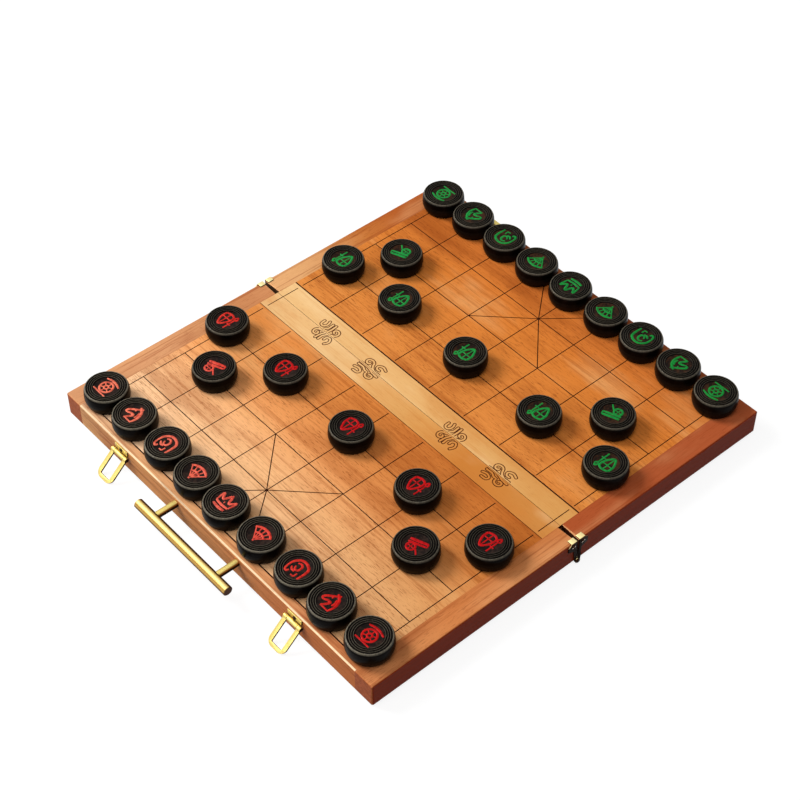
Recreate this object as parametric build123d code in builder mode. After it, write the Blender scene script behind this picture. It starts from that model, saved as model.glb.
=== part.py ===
"""A xiangqi box: two open-bottomed wooden trays hinged along the river, with the playing board on
their outside faces, a brass handle, two latches and thirty-two turned men.

Lengths are in millimetres. The box lies open as a board: +X runs from the red half to the green
half, across the river; +Y runs along the river, away from the player who looks at the hinge; +Z is
up. Z = 0 is the table, and X = 0, Y = 0 is the middle of the whole outline, handle and catches
included.
"""
from build123d import *
import math
import os

os.makedirs("parts", exist_ok=True)

# ----------------------------------------------------------------- the two trays
HALF_LENGTH = 195.5        # from the seam to the outer end of one tray
BOARD_DEPTH = 367.0        # along the river
SIDE_HEIGHT = 21.0         # from the rim up to the playing face
SEAM_GAP = 0.3             # between the two halves of the river
RAIL_WIDTH = 18.3          # face of the front and back rails, seen from above
END_RAIL_WIDTH = 7.5       # face of the rail that carries the handle, and its twin
SPINE_THICKNESS = 8.0      # the rail hidden under the river, beside the seam
PANEL_THICKNESS = 3.0
REBATE_LEDGE = 4.0         # step of the rails that the panel lies on
BATTEN_THICKNESS = 5.0     # flange of the spine rail under the panel's joint with the river
TENON_LENGTH = 4.0
TENON_THICKNESS = 4.0
TENON_HEIGHT = 9.0
TENON_BASE = 2.0           # height of the tenon's lower cheek above the rim
ARRIS = 0.8                # chamfer along the top edges
CORNER_RADIUS = 1.5        # rounding of the upright corners
RAIL_END_BACK = 1.2        # how far the rail ends stand back from the seam at the outside
RAIL_END_TAPER = 0.8       # and how much further on the inside
OVERCUT = 1.0              # how far a cut runs on past the face that it opens

# ----------------------------------------------------------------- the engraved board
RIVER_HALF_WIDTH = 18.3    # of the pale strip, from the seam to the bank
BANK_TO_RANK = 41.0        # from the bank to the soldiers' rank
BACK_RANK_GAP = 48.1       # between the last two ranks, beside the end rail
BACK_FILE_GAP = 35.95      # between the last two files, beside the back rail
EDGE_MARGIN = 6.7          # from the two edge files to the side rails
FILE_COUNT = 9
PALACE_FILES = (4, 5, 6)
SOLDIER_RANK = 4           # counted from the back rank
LINE_WIDTH = 0.8
LINE_DEPTH = 0.4
EDGE_LINE_WIDTH = 1.1      # the back rank, cut beside the end rail
RED_BANK_LINE = 0.5
GREEN_BANK_LINE = 1.2
LINE_END_GAP = 2.4         # file lines stop this far short of the bank

# ----------------------------------------------------------------- feet
FOOT_HEIGHT = 3.0
FOOT_RADIUS = 4.5
FOOT_SIDES = 12            # the feet and their sockets are whittled, not turned
SOCKET_CLEARANCE = 0.8
SOCKET_SPARE = 0.4         # depth left over above a foot in its socket
RED_FOOT_NEAR = 24.0       # from the seam
RED_FOOT_FAR = 9.5         # from the outer end
GREEN_FOOT_NEAR = 42.0
GREEN_FOOT_FAR = 27.5
CLOSING_GAP = 0.4          # between the two rims when the box is shut

# ----------------------------------------------------------------- strap hinges
STRAP_THICKNESS = 0.8
STRAP_INNER_EDGE = 1.4     # from the seam to the strap's near edge
STRAP_WIDTH = 8.4          # of the plate on the rail's face
STRAP_LEAF_WIDTH = 5.4     # of the leaf folded over the rail's top
STRAP_SHOULDER = 2.0       # depth of the slope between the two widths
STRAP_PLATE_HEIGHT = 6.6
STRAP_LIP = 4.0            # of the tab folded over the rail's top
STRAP_ARM_WIDTH = 2.6
LOBE_RADIUS = 2.4
LOBE_GAP = 0.1             # between the two lobes, and under the rivet's head
JOGGLE_TOP = 9.5           # where the green strap starts to step outwards, above the table
JOGGLE_RUN = 1.4
RIVET_RADIUS = 1.2
RIVET_HEAD_RADIUS = 2.2
RIVET_HEAD_HEIGHT = 1.0
RIVET_HEAD_TAPER = 35      # degrees
FIT_CLEARANCE = 0.01       # radial, of a pin that is pressed in
RUNNING_CLEARANCE = 0.05   # radial, of a pin that turns

# ----------------------------------------------------------------- handle
HARDWARE_CENTRE = 4.0      # middle of the two latches, along the river
BAR_SHIFT = 0.0            # of the bar's middle, from the latches' middle
POST_SHIFT = -1.0          # of the posts' middle, likewise
BAR_LENGTH = 109.4
BAR_RADIUS = 4.0
BAR_DROP = 5.8             # of the bar's axis, below the playing face
BAR_REACH = 21.0           # of the bar's axis, out from the end rail
POST_SPACING = 73.9
POST_RADIUS = 2.9
POST_BORE_DEPTH = 3.4      # how deep the post enters the bar
HANDLE_SCREW_RADIUS = 1.25
HANDLE_SCREW_HOLE = 1.35
HANDLE_SCREW_GRIP = 8.0    # length of thread inside the post
HANDLE_SCREW_HEAD = 2.1
HANDLE_SCREW_HEAD_HEIGHT = 1.6

# ----------------------------------------------------------------- latches and catches
LATCH_SPACING = 210.0
SHEET = 1.0                # thickness of the latch and catch plates
PLATE_WIDTH = 15.5
PLATE_TOP_DROP = 1.1       # of the latch plate's upper edge, below the playing face
PLATE_DROP = 5.4           # of its lower edge
CATCH_LIP = 3.2
LIP_THICKNESS = 0.8
PIN_DROP = 7.4             # of the bail's pin, below the playing face
PIN_REACH = 2.6            # of the pin's axis, out from the end rail
PIN_RADIUS = 0.9
PIN_END = 0.6              # how far the pin stands out past each eye
KNUCKLE_RADIUS = 1.9
ROLL_SIDES = 12            # flats left on rolled knuckles, eyes and rivet heads
EYE_RADIUS = 2.0
EYE_GAP = 0.2              # along the pin, beside each eye
BAIL_WIDTH = 18.4
BAIL_REACH = 23.8          # from the pin to the outer end
BAIL_STRIP = 3.7           # width of its legs
BAIL_END = 3.0             # width of its end bar
BAIL_THICKNESS = 1.5
BAIL_CORNER = 6.0
BAIL_INNER_CORNER = 0.9
TABLE_CLEARANCE = 0.06     # under the end of the bail, which leans out to the table
CATCH_WIDTH = 14.0
CATCH_DROP = 18.0
NOSE_WIDTH = 8.0
NOSE_HEIGHT = 3.2
NOSE_REACH = 6.1           # out from the end rail
NOSE_CLEARANCE = 0.3       # between the nose and the bail that is drawn over it

# ----------------------------------------------------------------- face screws
SCREW_SIDES = 6            # facets of the small screws and their holes
SCREW_RADIUS = 0.8
SCREW_HOLE = 0.85
SCREW_LENGTH = 5.0
SCREW_HEAD_RADIUS = 1.7
SCREW_HEAD_HEIGHT = 0.8
SCREW_SLOT = 0.5
SCREW_SLOT_DEPTH = 0.4
LATCH_SCREW_DROP = 3.6
CATCH_SCREW_DROP = 3.2
CATCH_SCREW_SPACING = 8.6
STRAP_SCREW_DROP = 3.0
STRAP_SCREW_REACH = 4.8     # from the seam

# ----------------------------------------------------------------- men
MAN_SIDES = 16             # flats around a man
MAN_HEIGHT = 15.5
MAN_FOOT_RADIUS = 15.6
MAN_BELLY_RADIUS = 18.0
MAN_BELLY_HEIGHT = 6.5
MAN_SHOULDER_RADIUS = 17.6
MAN_SHOULDER_HEIGHT = 13.6
MAN_RIM_RADIUS = 16.4
MAN_DISH_RADIUS = 12.6
MAN_DISH_FLOOR_RADIUS = 11.6
MAN_DISH_DEPTH = 1.0
BACK_ROW_SET_IN = 12.6     # of the back rank's men, from the line they stand at
BACK_ROW_SLACK = 4.2       # by which that row is shorter than the board's nine files
RED_ROW_CENTRE = -1.2
GREEN_ROW_CENTRE = 0.5
OUTER_SOLDIER_SET_IN = 6.5  # of the soldiers on the two edge files
CANNON_FILES = (2, 8)
SOLDIER_FILES = (1, 3, 5, 7, 9)
BACK_ROW = ("chariot", "horse", "elephant", "advisor", "general", "advisor", "elephant", "horse", "chariot")
NUDGE_STEP = 1.0
# How far off its point each of these men was set down by hand, along X and Y, in steps.
NUDGES = {
    "red_horse_1": (0.0, 2.0),
    "red_elephant_1": (0.8, 0.2),
    "red_advisor_1": (0.0, 1.2),
    "red_general": (-1.2, 3.6),
    "red_advisor_2": (-0.8, 1.7),
    "red_elephant_2": (0.1, -0.8),
    "red_horse_2": (-0.8, 0.7),
    "red_soldier_1": (-0.8, 1.5),
    "red_soldier_2": (0.5, -1.9),
    "red_soldier_3": (-0.5, -2.3),
    "red_soldier_4": (-2.0, 0.5),
    "red_soldier_5": (1.5, 0.9),
    "red_cannon_1": (0.4, -3.6),
    "red_cannon_2": (0.8, 0.0),
    "green_horse_1": (0.0, 1.5),
    "green_elephant_1": (0.1, 2.4),
    "green_advisor_1": (-0.1, 2.1),
    "green_general": (0.0, 1.9),
    "green_advisor_2": (0.1, 0.8),
    "green_elephant_2": (0.0, 0.9),
    "green_soldier_1": (-2.4, -3.0),
    "green_soldier_2": (1.3, 0.0),
    "green_soldier_4": (-0.9, -3.6),
    "green_cannon_1": (-1.4, 0.5),
    "green_cannon_2": (-0.6, -2.5),
}

# ----------------------------------------------------------------- worked out from the sizes above
RED, GREEN = -1, 1
SIDE_NAMES = {RED: "red", GREEN: "green"}
FRONT, BACK = -1, 1
RIM_Z = FOOT_HEIGHT
TOP_Z = RIM_Z + SIDE_HEIGHT
LEDGE_Z = TOP_Z - PANEL_THICKNESS
HALF_DEPTH = BOARD_DEPTH / 2
FIELD_HALF_DEPTH = HALF_DEPTH - RAIL_WIDTH
CAVITY_HALF_DEPTH = FIELD_HALF_DEPTH - REBATE_LEDGE
PANEL_END = HALF_LENGTH - END_RAIL_WIDTH
CAVITY_END = PANEL_END - REBATE_LEDGE
OUTER_FILE = FIELD_HALF_DEPTH - EDGE_MARGIN
FILE_PITCH = (2 * OUTER_FILE - BACK_FILE_GAP) / (FILE_COUNT - 2)
RANK_PITCH = (PANEL_END - BACK_RANK_GAP - RIVER_HALF_WIDTH - BANK_TO_RANK) / 2
BACK_ROW_SPACING = (2 * OUTER_FILE - BACK_ROW_SLACK) / (FILE_COUNT - 1)
SPINE_START = SEAM_GAP / 2
SPINE_END = SPINE_START + SPINE_THICKNESS
BATTEN_END = RIVER_HALF_WIDTH + REBATE_LEDGE
PIVOT_Z = RIM_Z - CLOSING_GAP / 2
HANDLE_OVERHANG = BAR_REACH + BAR_RADIUS
SEAM_X = (HANDLE_OVERHANG - NOSE_REACH) / 2
BAR_Z = TOP_Z - BAR_DROP
PIN_Z = TOP_Z - PIN_DROP
BAR_CENTRE = HARDWARE_CENTRE + BAR_SHIFT
POST_YS = [HARDWARE_CENTRE + POST_SHIFT + end * POST_SPACING / 2 for end in (FRONT, BACK)]
LATCH_YS = [HARDWARE_CENTRE + end * LATCH_SPACING / 2 for end in (FRONT, BACK)]
FOOT_Y = HALF_DEPTH - (RAIL_WIDTH + REBATE_LEDGE) / 2
FEET = {
    RED: (RED_FOOT_NEAR, HALF_LENGTH - RED_FOOT_FAR),
    GREEN: (GREEN_FOOT_NEAR, HALF_LENGTH - GREEN_FOOT_FAR),
}
SOCKET_DEPTH = FOOT_HEIGHT - CLOSING_GAP + SOCKET_SPARE
KNUCKLE_WIDTH = BAIL_WIDTH - 2 * BAIL_STRIP - 2 * EYE_GAP
STRAP_FACE = HALF_DEPTH + STRAP_THICKNESS
# The drawn bail hangs straight down, with its end bar just past the nose of the shut box.
BAIL_BAR_Z = 2 * PIVOT_Z - (PIN_Z - BAIL_REACH)
NOSE_TOP_Z = BAIL_BAR_Z - BAIL_END - NOSE_CLEARANCE
NOSE_Z = NOSE_TOP_Z - NOSE_HEIGHT / 2
# At rest the bail leans out until the lower edge of its end is just above the table.
BAIL_DIAGONAL = math.hypot(BAIL_REACH, BAIL_THICKNESS / 2)
BAIL_SLOPE = math.degrees(
    math.asin((PIN_Z - TABLE_CLEARANCE) / BAIL_DIAGONAL) - math.atan2(BAIL_THICKNESS / 2, BAIL_REACH)
)


def across(side, distance):
    """X of a place in the red or green tray, from its distance to the seam."""
    return SEAM_X + side * distance


def file_y(number):
    """Y of a file line: the edge files are fixed, the rest are stepped from the front one."""
    if number == 1:
        return OUTER_FILE
    return -OUTER_FILE + (FILE_COUNT - number) * FILE_PITCH


def rank_distance(number):
    """Distance from the seam to a rank line of one side, counted from its back rank."""
    if number == 1:
        return PANEL_END
    return RIVER_HALF_WIDTH + BANK_TO_RANK + (SOLDIER_RANK - number) * RANK_PITCH


def block(side, near, far, low_y, high_y, low_z, high_z, mode=Mode.ADD):
    """A rectangular block of one tray, given by its distances from the seam."""
    with BuildSketch(Plane.XY.offset(low_z)) as outline:
        with Locations((across(side, (near + far) / 2), (low_y + high_y) / 2)):
            Rectangle(far - near, high_y - low_y)
    extrude(outline.sketch, amount=high_z - low_z, mode=mode)


def rod(start, direction, radius, length, mode=Mode.ADD):
    """A round bar or hole from a start point, along a direction."""
    with BuildSketch(Plane(origin=start, z_dir=direction)) as section:
        Circle(radius)
    extrude(section.sketch, amount=length, mode=mode)


def faceted_rod(start, direction, radius, length, sides, mode=Mode.ADD):
    """A bar or hole with flats, from a start point, along a direction."""
    with BuildSketch(Plane(origin=start, z_dir=direction)) as section:
        RegularPolygon(radius, sides)
    extrude(section.sketch, amount=length, mode=mode)


def finish_piece(piece, name):
    """Label a finished piece and write it."""
    piece.part.label = name
    export_step(piece.part, f"parts/{name}.step")


# ================================================================= wooden trays
def side_rail(side, end):
    """A front or back rail: full length, rebated for the panel and mortised for the cross rails."""
    face_y = end * HALF_DEPTH
    rebate_y = end * FIELD_HALF_DEPTH
    inner_y = end * CAVITY_HALF_DEPTH
    end_inside = RAIL_END_BACK + RAIL_END_TAPER
    with BuildPart() as rail:
        with BuildSketch(Plane.XY.offset(RIM_Z)):
            with BuildLine():
                Polyline(
                    (across(side, RAIL_END_BACK), face_y),
                    (across(side, HALF_LENGTH), face_y),
                    (across(side, HALF_LENGTH), rebate_y),
                    (across(side, CAVITY_END), rebate_y),
                    (across(side, CAVITY_END), inner_y),
                    (across(side, SPINE_END), inner_y),
                    (across(side, SPINE_END), rebate_y),
                    (across(side, end_inside), rebate_y),
                    close=True,
                )
            make_face()
        extrude(amount=SIDE_HEIGHT)
        # rebate for the panel and the river strip
        low, high = sorted((inner_y, rebate_y))
        near, far = SPINE_END - OVERCUT, CAVITY_END + OVERCUT
        block(side, near, far, low, high, LEDGE_Z, TOP_Z + OVERCUT, Mode.SUBTRACT)
        # room for the batten beside the spine rail
        block(side, near, BATTEN_END, low, high, LEDGE_Z - BATTEN_THICKNESS, LEDGE_Z, Mode.SUBTRACT)
        # mortises
        mortise_y = sorted((rebate_y, rebate_y + end * TENON_LENGTH))
        tenon_low = RIM_Z + TENON_BASE
        for middle in (SPINE_START + SPINE_THICKNESS / 2, HALF_LENGTH - END_RAIL_WIDTH / 2):
            near, far = middle - TENON_THICKNESS / 2, middle + TENON_THICKNESS / 2
            block(side, near, far, *mortise_y, tenon_low, tenon_low + TENON_HEIGHT, Mode.SUBTRACT)
        corner = (
            rail.edges().filter_by(Axis.Z).filter_by_position(Axis.Y, face_y - 0.1, face_y + 0.1)
            .sort_by(Axis.X)[0 if side == RED else -1]
        )
        fillet(corner, CORNER_RADIUS)
        top_edges = rail.faces().sort_by(Axis.Z)[-1].outer_wire().edges()
        outer_edges = [
            edge for edge in top_edges
            if end * edge.center().Y > FIELD_HALF_DEPTH + 0.1
        ]
        chamfer(outer_edges, ARRIS)
        # sockets for the other tray's feet
        for distance in FEET[-side]:
            faceted_rod(
                (across(side, distance), end * FOOT_Y, RIM_Z), (0, 0, 1),
                FOOT_RADIUS + SOCKET_CLEARANCE, SOCKET_DEPTH, FOOT_SIDES, Mode.SUBTRACT,
            )
        # pilot hole of the strap screw
        faceted_rod(
            (across(side, STRAP_SCREW_REACH), face_y, TOP_Z - STRAP_SCREW_DROP),
            (0, -end, 0), SCREW_HOLE, SCREW_LENGTH, SCREW_SIDES, Mode.SUBTRACT,
        )
    return rail


def end_rail(side):
    """The short rail at the outer end, tenoned into the side rails; it carries the brassware."""
    with BuildPart() as rail:
        block(side, PANEL_END, HALF_LENGTH, -FIELD_HALF_DEPTH, FIELD_HALF_DEPTH, RIM_Z, TOP_Z)
        block(side, CAVITY_END, PANEL_END, -FIELD_HALF_DEPTH, FIELD_HALF_DEPTH, RIM_Z, LEDGE_Z)
        top_edge = (
            rail.edges().filter_by(Axis.Y).group_by(Axis.Z)[-1].sort_by(Axis.X)[0 if side == RED else -1]
        )
        chamfer(top_edge, ARRIS)
        middle = HALF_LENGTH - END_RAIL_WIDTH / 2
        reach = FIELD_HALF_DEPTH + TENON_LENGTH
        tenon_low = RIM_Z + TENON_BASE
        for low, high in ((-reach, -FIELD_HALF_DEPTH), (FIELD_HALF_DEPTH, reach)):
            block(
                side, middle - TENON_THICKNESS / 2, middle + TENON_THICKNESS / 2, low, high,
                tenon_low, tenon_low + TENON_HEIGHT,
            )
        inward = (-side, 0, 0)
        if side == RED:
            for post_y in POST_YS:
                faceted_rod(
                    (across(side, HALF_LENGTH), post_y, BAR_Z), inward, HANDLE_SCREW_HOLE,
                    END_RAIL_WIDTH + REBATE_LEDGE, SCREW_SIDES, Mode.SUBTRACT,
                )
        for screw_y, drop in face_screw_places(side):
            faceted_rod(
                (across(side, HALF_LENGTH), screw_y, TOP_Z - drop), inward, SCREW_HOLE,
                SCREW_LENGTH, SCREW_SIDES, Mode.SUBTRACT,
            )
    return rail


def spine_rail(side):
    """The rail under the river: a wall beside the seam, and a batten under the panel's joint."""
    with BuildPart() as rail:
        block(side, SPINE_START, SPINE_END, -FIELD_HALF_DEPTH, FIELD_HALF_DEPTH, RIM_Z, LEDGE_Z)
        block(
            side, SPINE_END, BATTEN_END, -FIELD_HALF_DEPTH, FIELD_HALF_DEPTH,
            LEDGE_Z - BATTEN_THICKNESS, LEDGE_Z,
        )
        middle = SPINE_START + SPINE_THICKNESS / 2
        reach = FIELD_HALF_DEPTH + TENON_LENGTH
        tenon_low = RIM_Z + TENON_BASE
        for low, high in ((-reach, -FIELD_HALF_DEPTH), (FIELD_HALF_DEPTH, reach)):
            block(
                side, middle - TENON_THICKNESS / 2, middle + TENON_THICKNESS / 2, low, high,
                tenon_low, tenon_low + TENON_HEIGHT,
            )
    return rail


def board_lines(side):
    """The engraved lines of one half: start, end and width of each, in the plan view."""
    bank_width = RED_BANK_LINE if side == RED else GREEN_BANK_LINE
    ends = RIVER_HALF_WIDTH + LINE_END_GAP
    lines = []
    for number in range(1, FILE_COUNT + 1):
        y = file_y(number)
        lines.append(((across(side, ends), y), (across(side, PANEL_END), y), LINE_WIDTH))
    for number in (2, 3, 4):
        x = across(side, rank_distance(number))
        lines.append(((x, -OUTER_FILE), (x, OUTER_FILE), LINE_WIDTH))
    # the back rank and the bank run beside the panel's two long edges
    back_rank = across(side, PANEL_END - EDGE_LINE_WIDTH / 2)
    bank = across(side, RIVER_HALF_WIDTH + bank_width / 2)
    for x, width in ((back_rank, EDGE_LINE_WIDTH), (bank, bank_width)):
        lines.append(((x, -FIELD_HALF_DEPTH), (x, FIELD_HALF_DEPTH), width))
    # the palace's diagonals meet where its middle file and rank cross
    first, middle, last = (file_y(number) for number in PALACE_FILES)
    centre = (across(side, rank_distance(2)), middle)
    for number in (1, 3):
        for y in (first, last):
            lines.append((centre, (across(side, rank_distance(number)), y), LINE_WIDTH))
    return lines


def playing_panel(side):
    """The field of one half, with its grid cut into the upper face."""
    with BuildPart() as panel:
        block(
            side, RIVER_HALF_WIDTH, PANEL_END, -FIELD_HALF_DEPTH, FIELD_HALF_DEPTH, LEDGE_Z, TOP_Z,
        )
        with BuildSketch(Plane.XY.offset(TOP_Z)) as grid:
            for start, stop, width in board_lines(side):
                with BuildLine() as stroke:
                    Line(start, stop)
                trace(stroke.line, line_width=width)
        extrude(grid.sketch, amount=-LINE_DEPTH, mode=Mode.SUBTRACT)
    return panel


def river_strip(side):
    """The pale strip between the seam and the bank, with the edge files cut across it."""
    with BuildPart() as strip:
        block(
            side, SPINE_START, RIVER_HALF_WIDTH, -FIELD_HALF_DEPTH, FIELD_HALF_DEPTH, LEDGE_Z, TOP_Z,
        )
        with BuildSketch(Plane.XY.offset(TOP_Z)) as edge_files:
            for number in (1, FILE_COUNT):
                with BuildLine() as stroke:
                    Line(
                        (SEAM_X, file_y(number)),
                        (across(side, RIVER_HALF_WIDTH - LINE_END_GAP), file_y(number)),
                    )
                trace(stroke.line, line_width=LINE_WIDTH)
        extrude(edge_files.sketch, amount=-LINE_DEPTH, mode=Mode.SUBTRACT)
    return strip


def feet(side):
    """Four small feet under the side rails; they drop into the other tray's sockets when it shuts."""
    with BuildPart() as set_of_feet:
        for distance in FEET[side]:
            for end in (FRONT, BACK):
                faceted_rod(
                    (across(side, distance), end * FOOT_Y, 0), (0, 0, 1), FOOT_RADIUS,
                    FOOT_HEIGHT, FOOT_SIDES,
                )
    return set_of_feet


# ================================================================= fasteners
def face_screw_places(side):
    """Y and drop of each small screw in one end rail."""
    if side == RED:
        return [(latch_y, LATCH_SCREW_DROP) for latch_y in LATCH_YS]
    return [
        (latch_y + offset * CATCH_SCREW_SPACING / 2, CATCH_SCREW_DROP)
        for latch_y in LATCH_YS for offset in (-1, 1)
    ]


def slotted_screw(seat, inward, slot_along, shank, head, head_height, length):
    """A screw with its head on the seat, its shank running inward and a slot across the head."""
    outward = [-part for part in inward]
    faceted_rod(seat, inward, shank, length, SCREW_SIDES)
    faceted_rod(seat, outward, head, head_height, SCREW_SIDES)
    slot_floor = [
        place + part * (head_height - SCREW_SLOT_DEPTH) for place, part in zip(seat, outward)
    ]
    with BuildSketch(Plane(origin=slot_floor, x_dir=slot_along, z_dir=outward)) as slot:
        Rectangle(2 * head, SCREW_SLOT)
    extrude(slot.sketch, amount=head_height, mode=Mode.SUBTRACT)


def small_screw(seat, inward, slot_along):
    """One of the screws that hold the latch plates, catches and hinge straps."""
    slotted_screw(
        seat, inward, slot_along, SCREW_RADIUS, SCREW_HEAD_RADIUS, SCREW_HEAD_HEIGHT, SCREW_LENGTH,
    )


def face_screws(side):
    """The screws of one tray's latch or catch plates and hinge straps."""
    with BuildPart() as screws:
        for screw_y, drop in face_screw_places(side):
            seat = (across(side, HALF_LENGTH + SHEET), screw_y, TOP_Z - drop)
            small_screw(seat, (-side, 0, 0), (0, 1, 0))
        for end in (FRONT, BACK):
            seat = (across(side, STRAP_SCREW_REACH), end * STRAP_FACE, TOP_Z - STRAP_SCREW_DROP)
            small_screw(seat, (0, -end, 0), (1, 0, 0))
    return screws


# ================================================================= strap hinges
def strap_outline(side):
    """Front view of a strap: a plate at the top edge and an arm leaning in to the pivot."""
    near, far = STRAP_INNER_EDGE, STRAP_INNER_EDGE + STRAP_WIDTH
    leaf_far = STRAP_INNER_EDGE + STRAP_LEAF_WIDTH
    plate_low = TOP_Z - STRAP_PLATE_HEIGHT
    arm_top = plate_low - STRAP_ARM_WIDTH
    return [
        (across(side, near), TOP_Z + STRAP_THICKNESS),
        (across(side, leaf_far), TOP_Z + STRAP_THICKNESS),
        (across(side, leaf_far), TOP_Z),
        (across(side, far), TOP_Z - STRAP_SHOULDER),
        (across(side, far), plate_low),
        (across(side, near + STRAP_ARM_WIDTH), arm_top),
        (across(side, LOBE_RADIUS), PIVOT_Z),
        (across(side, 0), PIVOT_Z),
        (across(side, 0), PIVOT_Z + LOBE_RADIUS),
        (across(side, near), arm_top),
    ]


def strap_section(side, end):
    """Side view of a strap: folded sheet, the green one stepping outwards past its twin."""
    face, outer = HALF_DEPTH, STRAP_FACE
    low = PIVOT_Z - LOBE_RADIUS - OVERCUT
    joggle_low = JOGGLE_TOP - JOGGLE_RUN
    points = [
        (face, TOP_Z),
        (face - STRAP_LIP, TOP_Z),
        (face - STRAP_LIP, TOP_Z + STRAP_THICKNESS),
        (outer - STRAP_THICKNESS / 2, TOP_Z + STRAP_THICKNESS),
        (outer, TOP_Z + STRAP_THICKNESS / 2),
    ]
    if side == GREEN:
        step = STRAP_THICKNESS + LOBE_GAP
        points += [(outer, JOGGLE_TOP), (outer + step, joggle_low), (outer + step, low)]
        points += [(face + step, low), (face + step, joggle_low), (face, JOGGLE_TOP)]
    else:
        points += [(outer, low), (face, low)]
    return [(end * y, z) for y, z in points]


def hinge_straps(side):
    """The two straps of one tray, folded from sheet; the green ones pass outside the red ones."""
    with BuildPart() as straps:
        for end in (FRONT, BACK):
            with BuildPart(mode=Mode.PRIVATE) as folded:
                with BuildSketch(Plane.YZ.offset(SEAM_X)):
                    with BuildLine():
                        Polyline(*strap_section(side, end), close=True)
                    make_face()
                extrude(amount=2 * (STRAP_WIDTH + STRAP_INNER_EDGE), both=True)
            with BuildPart(mode=Mode.PRIVATE) as silhouette:
                with BuildSketch(Plane.XZ):
                    with BuildLine():
                        Polyline(*strap_outline(side), close=True)
                    make_face()
                    with Locations((SEAM_X, PIVOT_Z)):
                        Circle(LOBE_RADIUS)
                extrude(amount=HALF_DEPTH * 1.2, both=True)
            add(folded.part & silhouette.part)
            hole = RIVET_RADIUS + (RUNNING_CLEARANCE if side == GREEN else FIT_CLEARANCE)
            rod((SEAM_X, 0, PIVOT_Z), (0, end, 0), hole, HALF_DEPTH * 1.2, Mode.SUBTRACT)
            faceted_rod(
                (across(side, STRAP_SCREW_REACH), 0, TOP_Z - STRAP_SCREW_DROP), (0, end, 0),
                SCREW_HOLE, HALF_DEPTH * 1.2, SCREW_SIDES, Mode.SUBTRACT,
            )
    return straps


def hinge_rivets():
    """One domed rivet at each end of the seam, pressed into the red lobe, free in the green one."""
    stack = 2 * STRAP_THICKNESS + 2 * LOBE_GAP
    with BuildPart() as rivets:
        for end in (FRONT, BACK):
            inner = HALF_DEPTH
            rod((SEAM_X, end * inner, PIVOT_Z), (0, end, 0), RIVET_RADIUS, stack)
            head_seat = Plane(origin=(SEAM_X, end * (inner + stack), PIVOT_Z), z_dir=(0, end, 0))
            with BuildSketch(head_seat) as head:
                RegularPolygon(RIVET_HEAD_RADIUS, ROLL_SIDES)
            extrude(head.sketch, amount=RIVET_HEAD_HEIGHT, taper=RIVET_HEAD_TAPER)
    return rivets


# ================================================================= handle
def handle_bar():
    """The round bar, with a blind bore for each post."""
    with BuildPart() as bar:
        axis_x = across(RED, HALF_LENGTH + BAR_REACH)
        rod((axis_x, BAR_CENTRE - BAR_LENGTH / 2, BAR_Z), (0, 1, 0), BAR_RADIUS, BAR_LENGTH)
        for post_y in POST_YS:
            rod(
                (axis_x + BAR_RADIUS, post_y, BAR_Z), (-1, 0, 0), POST_RADIUS + FIT_CLEARANCE,
                POST_BORE_DEPTH, Mode.SUBTRACT,
            )
    return bar


def handle_posts():
    """The two posts, bored for the screws that hold them against the end rail."""
    with BuildPart() as posts:
        for post_y in POST_YS:
            foot = (across(RED, HALF_LENGTH), post_y, BAR_Z)
            rod(foot, (-1, 0, 0), POST_RADIUS, BAR_REACH - BAR_RADIUS + POST_BORE_DEPTH)
            faceted_rod(
                foot, (-1, 0, 0), HANDLE_SCREW_RADIUS + FIT_CLEARANCE,
                HANDLE_SCREW_GRIP + FIT_CLEARANCE, SCREW_SIDES, Mode.SUBTRACT,
            )
    return posts


def handle_screws():
    """Machine screws through the end rail, from inside the tray into the posts."""
    length = END_RAIL_WIDTH + REBATE_LEDGE + HANDLE_SCREW_GRIP
    with BuildPart() as screws:
        for post_y in POST_YS:
            slotted_screw(
                (across(RED, CAVITY_END), post_y, BAR_Z), (-1, 0, 0), (0, 1, 0),
                HANDLE_SCREW_RADIUS, HANDLE_SCREW_HEAD, HANDLE_SCREW_HEAD_HEIGHT, length,
            )
    return screws


# ================================================================= latches and catches
def latch_plates():
    """Two plates with a rolled knuckle along the lower edge."""
    pin_x = across(RED, HALF_LENGTH + PIN_REACH)
    with BuildPart() as plates:
        for latch_y in LATCH_YS:
            low, high = latch_y - PLATE_WIDTH / 2, latch_y + PLATE_WIDTH / 2
            block(
                RED, HALF_LENGTH, HALF_LENGTH + SHEET, low, high,
                TOP_Z - PLATE_DROP, TOP_Z - PLATE_TOP_DROP,
            )
            low, high = latch_y - KNUCKLE_WIDTH / 2, latch_y + KNUCKLE_WIDTH / 2
            block(RED, HALF_LENGTH, HALF_LENGTH + SHEET, low, high, PIN_Z, TOP_Z - PLATE_DROP)
            faceted_rod((pin_x, low, PIN_Z), (0, 1, 0), KNUCKLE_RADIUS, KNUCKLE_WIDTH, ROLL_SIDES)
            rod(
                (pin_x, low, PIN_Z), (0, 1, 0), PIN_RADIUS + FIT_CLEARANCE, KNUCKLE_WIDTH,
                Mode.SUBTRACT,
            )
            faceted_rod(
                (across(RED, HALF_LENGTH), latch_y, TOP_Z - LATCH_SCREW_DROP), (-1, 0, 0),
                SCREW_HOLE, SHEET, SCREW_SIDES, Mode.SUBTRACT,
            )
    return plates


def latch_pins():
    """The pin through each knuckle and its bail's two eyes."""
    pin_x = across(RED, HALF_LENGTH + PIN_REACH)
    length = BAIL_WIDTH + 2 * PIN_END
    with BuildPart() as pins:
        for latch_y in LATCH_YS:
            rod((pin_x, latch_y - length / 2, PIN_Z), (0, 1, 0), PIN_RADIUS, length)
    return pins


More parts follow.
